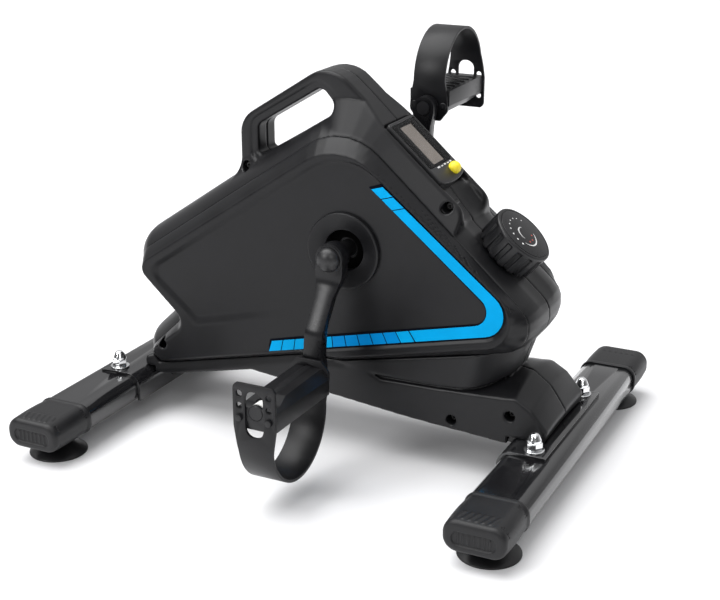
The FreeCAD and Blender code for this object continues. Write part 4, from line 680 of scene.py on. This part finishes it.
def plate(name, outline, low, high, hole=None, bevel=0.0):
    """A flat plate on the slope with a rounded outline and an optional hole of the same point count."""
    bm = bmesh.new()
    loops = [outline] + ([hole] if hole is not None else [])
    tiers = [[[bm.verts.new((s, y, d)) for s, y in loop] for d in (low, high)] for loop in loops]
    n = len(outline)
    for (bottom, top), order in zip(tiers, (1, -1)):
        for i in range(n):
            j = (i + 1) % n
            bm.faces.new([bottom[i], bottom[j], top[j], top[i]][::order])
    if hole is None:
        bm.faces.new(tiers[0][0][::-1])
        bm.faces.new(tiers[0][1])
    else:
        for i in range(n):
            j = (i + 1) % n
            for outside, inside, order in zip(*tiers, (-1, 1)):
                bm.faces.new([outside[i], outside[j], inside[j], inside[i]][::order])
    bmesh.ops.recalc_face_normals(bm, faces=bm.faces)
    if bevel:
        rim = [e for e in bm.edges if all(abs(v.co.z - high) < 1e-6 for v in e.verts)
               and e.calc_face_angle(0) > 0.9]
        bmesh.ops.bevel(bm, geom=rim, offset=bevel, segments=3, profile=0.5, affect="EDGES",
                        clamp_overlap=True)
    for v in bm.verts:
        s, y, d = v.co
        x, z = on_slope(s, d)
        v.co = (x * MM, y * MM, z * MM)
    return from_bmesh(name, bm, sharp=35)


def box_outline(s0, s1, y0, y1, radius, bulge=0.0):
    """A rounded rectangle, its lower end bowed out by a bulge."""
    middle, half = (y0 + y1) / 2, (y1 - y0) / 2
    bow = [(s1 + bulge * (1 - t * t), middle + t * half) for t in (0.7, 0.35, 0, -0.35, -0.7)]
    return rounded([(s0, y0, radius), (s0, y1, radius), (s1, y1, radius), *bow, (s1, y0, radius)], 5)


def inset(box, margin):
    """A box with its sides moved in by a margin."""
    s0, s1, y0, y1, radius = box
    return s0 + margin, s1 - margin, y0 + margin, y1 - margin, radius


def dome(name, s, y, low, radius, height):
    """A button: a dome that goes on a little below its widest ring, on a straight foot."""
    steps, around, undercut, foot_depth = 10, 28, 0.55, 0.72
    verts, faces = [], []
    for i in range(steps):
        a = -undercut + i / steps * (math.pi / 2 + undercut)
        for k in range(around):
            w = 2 * math.pi * k / around
            verts.append((s + radius * math.cos(a) * math.cos(w), y + radius * math.cos(a) * math.sin(w),
                          low + height * math.sin(a)))
    foot = low - foot_depth * height
    tip, centre, base = len(verts), len(verts) + 1, len(verts) + 2
    rim = [(vs, vy, foot) for vs, vy, _ in verts[:around]]
    verts += [(s, y, low + height), (s, y, foot), *rim]
    for k in range(around):
        j = (k + 1) % around
        for start in range(0, tip - around, around):
            faces.append((start + k, start + j, start + around + j, start + around + k))
        faces.append((tip - around + k, tip - around + j, tip))
        faces.append((base + k, base + j, j, k))
        faces.append((base + j, base + k, centre))
    return slope_object(name, verts, faces)


def make_console():
    window, display = box_outline(*WINDOW_BOX), box_outline(*DISPLAY_BOX)
    case = plate("console_case_shell", box_outline(*CASE_BOX, bulge=4), *CASE_LAYER, window, 1.3)
    finish_piece(case, "base", "console_plastic", "console_plastic", "console_case")
    bezel = plate("display_bezel", box_outline(*inset(WINDOW_BOX, 0.1)), *BEZEL_LAYER, display, 0.2)
    finish_piece(bezel, "base", "console_plastic", "bezel_gloss")
    screen = plate("display_panel", box_outline(*inset(DISPLAY_BOX, -0.4)), *SCREEN_LAYER)
    finish_piece(screen, "base", "display_glass", "display_glass", "lcd_module")
    lens = plate("display_lens", box_outline(*inset(WINDOW_BOX, 0.2)), *LENS_LAYER, bevel=0.2)
    finish_piece(lens, "base", "clear_lens", "clear_lens", "console_lens")
    button = dome("mode_button_dome", **BUTTON)
    finish_piece(button, "button", "button_yellow", "button_yellow", "mode_button")


def make_console_marks():
    """A row of plain bars where the console's legend is."""
    marks = []
    for i, (y, length) in enumerate(LEGEND):
        bar = box_outline(47.8 + (i % 2) * 0.4, 49.2, y - length / 2, y + length / 2, 0.3)
        marks.append(plate(f"mark_{i}", bar, *LEGEND_LAYER))
        marks[-1].data.materials.append(LOOK["print_white"])
    finish_piece(joined("console_marks", marks), "base", "console_plastic", None)


make_console()
make_console_marks()

# ---------------------------------------------------------------- tension knob

DIAL_RADIUS, DIAL_TOP = 24.0, 28.3


def on_dial(radius, degrees):
    """Place (along the slope, across) on the dial."""
    a = math.radians(degrees)
    return KNOB_S + radius * math.cos(a), radius * math.sin(a)


def circle(s, y, radius, count):
    angles = np.linspace(0, 2 * math.pi, count + 1)[:-1]
    return [(s + radius * math.cos(a), y + radius * math.sin(a)) for a in angles]


def make_knob(step=0.55):
    """Fluted drum with a raised ring round the dial face."""
    rim_radius, rim_from, foot, top, flutes, flute_depth = 27.3, 24.6, 4.6, 28.1, 16, 1.9
    p, h = np.arange(-29.5, 29.6, step), np.arange(3, 30, step)
    P, Q, H = np.meshgrid(p, p, h, indexing="ij")
    r, turn = np.hypot(P, Q), np.arctan2(Q, P)
    groove = np.abs((turn / (2 * math.pi) * flutes) % 1 - 0.5) * 2
    flute = flute_depth * ease(0.50, 0.62, groove) * ease(25.2, 24.0, H)
    side = rim_radius - 0.4 + 0.5 * np.clip((H - 5) / 20, 0, 1) - flute
    side = np.where(H > rim_from, rim_radius, side)
    drum = smax((r - side) * 0.8, np.maximum(H - top, foot - H), 1.6)
    drum = smax(drum, -np.maximum(r - DIAL_RADIUS - 0.2, top - 0.8 - H), 0.4)
    drum = np.maximum(drum, -np.maximum(r - 20, H - 25.5))
    verts, quads = surface_net(drum, (p[0], p[0], h[0]), step)
    verts = relax(verts, quads) + np.array([KNOB_S, 0, 0])
    knob = slope_object("knob_drum", verts, quads)
    finish_piece(knob, "knob", "knob_plastic", "knob_plastic", "tension_knob")
    face = plate("knob_dial_face", circle(KNOB_S, 0, DIAL_RADIUS, 72), 25.6, DIAL_TOP, bevel=0.3)
    finish_piece(face, "knob", "dial_plastic", "dial_plastic", "knob_dial_cap")


def dial_arc(start, end, radius, thick, count=14):
    """An arc on the dial that tapers towards both ends."""
    angles = [start + (end - start) * k / count for k in range(count + 1)]
    widths = [thick * math.sin(math.pi * (k + 0.6) / (count + 1.2)) for k in range(count + 1)]
    line = [on_dial(radius + w / 2, a) for a, w in zip(angles, widths)]
    return line + [on_dial(radius - w / 2, a) for a, w in zip(angles[::-1], widths[::-1])]


def make_dial_marks():
    """Generic scale on the knob: two tapering arcs, nine growing dots and three red ones."""
    shapes = [(dial_arc(150, 300, 6.5, 1.5), "print_white"), (dial_arc(-60, 70, 12.5, 1.3), "print_white")]
    shapes += [(circle(*on_dial(16, 130 + 20 * i), 0.5 + 0.06 * i, 8), "print_white") for i in range(9)]
    shapes += [(circle(*on_dial(8.5, -20 + 38 * i), 0.8, 8), "print_red") for i in range(3)]
    marks = []
    for i, (shape, look) in enumerate(shapes):
        marks.append(plate(f"dial_mark_{i}", shape, DIAL_TOP - 0.19, DIAL_TOP + 0.12))
        marks[-1].data.materials.append(LOOK[look])
    finish_piece(joined("knob_dial_marks", marks), "knob", "dial_plastic", None)


make_knob()
make_dial_marks()

# ---------------------------------------------------------------- hub rings, crank caps and pedal plugs

# Closed profiles of (radius, distance from the mid-plane)
HUB_RING = [(32.5, 53), (32.5, 55.6), (32.2, 56.4), (31.5, 56.8), (30.6, 56.7), (18.6, 53.5), (17.7, 53.1),
            (17.4, 52.4), (17.4, 45.2), (20.8, 45.2), (20.8, 53)]
# The next profile is a flat black disc in the ring's opening: painted shade where the hub's hollow is.
HUB_SHADE_DISC = [(17.3, 46.6), (9.4, 46.6), (9.4, 45.3), (17.3, 45.3)]
CAP_DOME = [(0, 81), (9.9, 81),
            *[(10.2 * math.cos(a), 81.9 + 7.7 * math.sin(a)) for a in np.linspace(0, math.pi / 2, 14)[:-1]],
            (0, 89.6)]
PEDAL_PLUG = [(0, 189.2), (6.2, 189.2), (6.2, 191.8), (5.7, 192.3), (0, 192.3)]


def turned(name, profile, axis, sign, around=72):
    """A piece turned about an axis across the machine, on the side that the sign says."""
    x, z = axis
    bm = bmesh.new()
    turns = [(math.cos(a), math.sin(a)) for a in np.linspace(0, 2 * math.pi, around, endpoint=False)]
    rings = [[bm.verts.new(((x + r * c) * MM, sign * d * MM, (z + r * s) * MM)) for r, d in profile]
             for c, s in turns]
    for ring, after in zip(rings, rings[1:] + rings[:1]):
        for i, (r, _) in enumerate(profile):
            j = (i + 1) % len(profile)
            if r or profile[j][0]:
                bm.faces.new((ring[i], ring[j], after[j], after[i]))
    bmesh.ops.remove_doubles(bm, verts=bm.verts, dist=1e-7)
    bmesh.ops.recalc_face_normals(bm, faces=bm.faces)
    return from_bmesh(name, bm, sharp=40)


def pedal_axis(side):
    """Middle (x, z) of the pedal's bushes in the CAD model."""
    bush = frame["nodes"][f"{side}_pedal_bushes"]
    corners = [bush.matrix_world @ Vector(c) / MM for c in bush.bound_box]
    return [(min(c[i] for c in corners) + max(c[i] for c in corners)) / 2 for i in (0, 2)]


def make_hubs():
    """A dished ring round each crank axle, with a black disc of painted shade in its opening, and the caps
    on cranks and pedals.
    """
    caps = []
    for side, sign in SIDES.items():
        collar = turned(f"{side}_hub_ring", HUB_RING, CRANK_AXIS, sign)
        finish_piece(collar, "base", "cover_plastic", "cover_plastic", f"{side}_hub_cover")
        # A black disc of painted shade in the ring's opening, where the hub's hollow is.
        shade_disc = turned(f"{side}_hub_shade_disc", HUB_SHADE_DISC, CRANK_AXIS, sign)
        finish_piece(shade_disc, "base", "cover_plastic", "hub_shadow")
        plug = turned(f"{side}_pedal_plug", PEDAL_PLUG, pedal_axis(side), sign, 36)
        finish_piece(plug, f"{side}_pedal", "pedal_plastic", "pedal_plastic")
        caps.append(turned(f"{side}_cap", CAP_DOME, CRANK_AXIS, sign))
        caps[-1].data.materials.append(LOOK["gloss_cap"])
    finish_piece(joined("crank_cap_domes", caps), "crank", "gloss_cap", None, "crank_caps")


make_hubs()

# ---------------------------------------------------------------- end caps

CAP_LENGTH, CAP_MIDDLE = 49.6, 14.5  # the height of the cap's middle over its underside
CAP_PLACE = (200, 143, 13)  # the tube's axis in x, the cap's inner end in y, its underside in z


def bars(place, pitch, half_bar):
    """Distance across bars that repeat at a pitch."""
    return np.abs(place % pitch - pitch / 2) - half_bar


def cap_body(U, V, section):
    """A closed rubber sleeve with slanting ribs on top, over the stretch beside the closed end."""
    body = smax(smax(section, V - CAP_LENGTH, 4.5), -V, 0.8)
    stretch = np.maximum(np.abs(V - 38.5) - 6, np.abs(U) - (18 - 0.3 * (V - 32)))
    ribs = smax(stretch, bars(U + 0.3 * (V - 40) + 1.7, 5.4, 1.3), 0.8)
    return smin(body, smax(ribs, section - 0.55, 0.6), 0.5)


def cap_end(U, V, W, body):
    """The body with a sunk frame on its end face, and upright ribs in the frame."""
    end_frame = box_distance(U, W - CAP_MIDDLE + 1, 17.5, 5.8, 5.6)
    body = smax(body, -np.maximum(end_frame, CAP_LENGTH - 1.3 - V), 0.5)
    ribs = smax(bars(U + 2.1, 4.2, 0.75), end_frame + 1.6, 0.4)
    return smin(body, smax(ribs, np.maximum(V - CAP_LENGTH + 0.3, 46 - V), 0.4), 0.3)


def make_end_caps(step=0.65):
    """U runs across the tube, V along it towards the cap's closed end, and W up."""
    u, v, w = np.arange(-29, 29.1, step), np.arange(-2, 52.1, step), np.arange(-2, 32, step)
    U, V, W = np.meshgrid(u, v, w, indexing="ij")
    swell = 1.0 * ease(6, 2, V) + 0.8 * np.sin(np.pi * np.clip(V / 50, 0, 1))
    section = box_distance(U, W - CAP_MIDDLE, 25.2 + swell, 12.9 + swell * 0.8, 11.5)
    socket = np.maximum(box_distance(U, W - CAP_MIDDLE, 24.7, 12.2, 10), V - 44)
    body = np.maximum(cap_end(U, V, W, cap_body(U, V, section)), -socket)
    verts, quads = surface_net(body, (u[0], v[0], w[0]), step)
    verts = relax(verts, quads)
    for end, along in (("front", 1), ("rear", -1)):
        for side, sign in SIDES.items():
            placed = (verts + np.array(CAP_PLACE)) * np.array((along, sign, 1))
            faces = quads[:, ::-1] if along * sign < 0 else quads
            obj = new_object(f"{end}_{side}_rubber_cap", placed * MM, faces)
            finish_piece(obj, "base", "cap_plastic", "cap_plastic", f"{end}_{side}_end_cap")


make_end_caps()

# ---------------------------------------------------------------- pieces kept from the CAD model

EASED = {
    "front_stabilizer": 0.8, "rear_stabilizer": 0.8, "front_saddle": 0.8, "rear_saddle": 0.8,
    "left_crank": 0.9, "right_crank": 0.9, "left_pedal_body": 0.6, "right_pedal_body": 0.6,
    "left_pedal_strap": 0.5, "right_pedal_strap": 0.5,
    "acorn_nuts": 0.3, "flat_washers": 0.2, "suction_feet": 0.3,
}
record = frame["record"]
slot_of = {p["node"]: p["material_slot"] for p in record["subparts"]}
body_of = {n: b for b, members in record["behaviour"]["bodies"].items() for n in members}


def eased(node, width):
    """A copy of a CAD node with its sharp edges bevelled."""
    same_plane, sharp_edge = math.radians(0.8), math.radians(32)
    mesh = frame["nodes"][node].data.copy()
    mesh.materials.clear()
    bm = bmesh.new()
    bm.from_mesh(mesh)
    bmesh.ops.remove_doubles(bm, verts=bm.verts, dist=2e-6)
    bmesh.ops.dissolve_limit(bm, angle_limit=same_plane, verts=bm.verts, edges=bm.edges)
    sharp = [e for e in bm.edges if len(e.link_faces) == 2 and e.calc_face_angle(0) > sharp_edge]
    bmesh.ops.bevel(bm, geom=sharp, offset=width * MM, segments=2, profile=0.5, affect="EDGES",
                    clamp_overlap=True)
    fill_mesh(mesh, bm, sharp=50)
    look = "crank_paint" if node.endswith("_crank") else slot_of[node]
    finish_piece(link_new(f"{node}_piece", mesh), body_of[node], slot_of[node], look, node)


for name, width in EASED.items():
    eased(name, width)
for name, obj in frame["nodes"].items():
    obj.data.materials.clear()
    obj.data.materials.append(LOOK[slot_of[name]])

# ---------------------------------------------------------------- stage, lights and camera

CAMERA_PLACE, CAMERA_TARGET, CAMERA_LENS = (0.5136, -1.0207, 0.5313), (0.01467, 0.0, 0.12156), 69.1


def stage():
    bpy.ops.mesh.primitive_plane_add(size=24, location=(0, 0, 0))
    floor = bpy.context.object
    floor.name = "studio_floor"
    mat, nodes, links, bsdf = nodes_of("floor_paper")
    coords = nodes.new("ShaderNodeTexCoord")
    cloud = noise(nodes, links, coords, 3.0, 2.0)
    links.new(spread(nodes, links, cloud.outputs["Fac"], 0.3, 0.7, 0.5, 0.6), bsdf.inputs["Roughness"])
    bsdf.inputs["Base Color"].default_value = (0.86, 0.86, 0.87, 1)
    bsdf.inputs["Specular IOR Level"].default_value = 0.2
    floor.data.materials.append(mat)


def world():
    """Air that is brighter overhead and, less so, behind the object."""
    back = bpy.data.worlds.new("studio_air")
    bpy.context.scene.world = back
    back.use_nodes = True
    nodes, links = back.node_tree.nodes, back.node_tree.links
    coords = nodes.new("ShaderNodeTexCoord")
    split = nodes.new("ShaderNodeSeparateXYZ")
    links.new(coords.outputs["Generated"], split.inputs["Vector"])
    overhead = spread(nodes, links, split.outputs["Z"], 0.45, 1.0, 0.14, 1.0)
    behind = spread(nodes, links, split.outputs["Y"], -0.1, 0.9, 0.0, 0.45)
    total = nodes.new("ShaderNodeMath")
    total.operation = "ADD"
    links.new(overhead, total.inputs[0])
    links.new(behind, total.inputs[1])
    links.new(total.outputs["Value"], nodes["Background"].inputs["Strength"])
    nodes["Background"].inputs["Color"].default_value = (0.99, 0.99, 1.0, 1)


def aimed(name, data, place, target):
    """Links a light or a camera in metres, looking from its place at a target."""
    obj = link_new(name, data)
    obj.location = place
    obj.rotation_euler = (Vector(target) - Vector(place)).to_track_quat("-Z", "Y").to_euler()
    return obj


def camera():
    cam = bpy.data.cameras.new("view_camera")
    cam.lens, cam.sensor_width = CAMERA_LENS, 36.0
    bpy.context.scene.camera = aimed("view_camera", cam, CAMERA_PLACE, CAMERA_TARGET)


def area_light(name, place, target, size, power):
    light = bpy.data.lights.new(name, "AREA")
    light.energy, light.size = power, size
    aimed(name, light, place, target)


def soft_sun():
    sun = bpy.data.lights.new("soft_sun", "SUN")
    sun.energy, sun.angle = 3.0, math.radians(60)
    aimed("soft_sun", sun, (-0.6, -0.15, 1.5), (0, 0, 0))


stage()
world()
camera()
soft_sun()
area_light("soft_left", (-0.95, -1.75, 1.25), (0, 0, 0.18), 0.7, 16)
area_light("soft_right", (1.1, -1.5, 1.35), (0.05, 0, 0.18), 0.8, 7)
bpy.context.scene.view_settings.view_transform = "Standard"
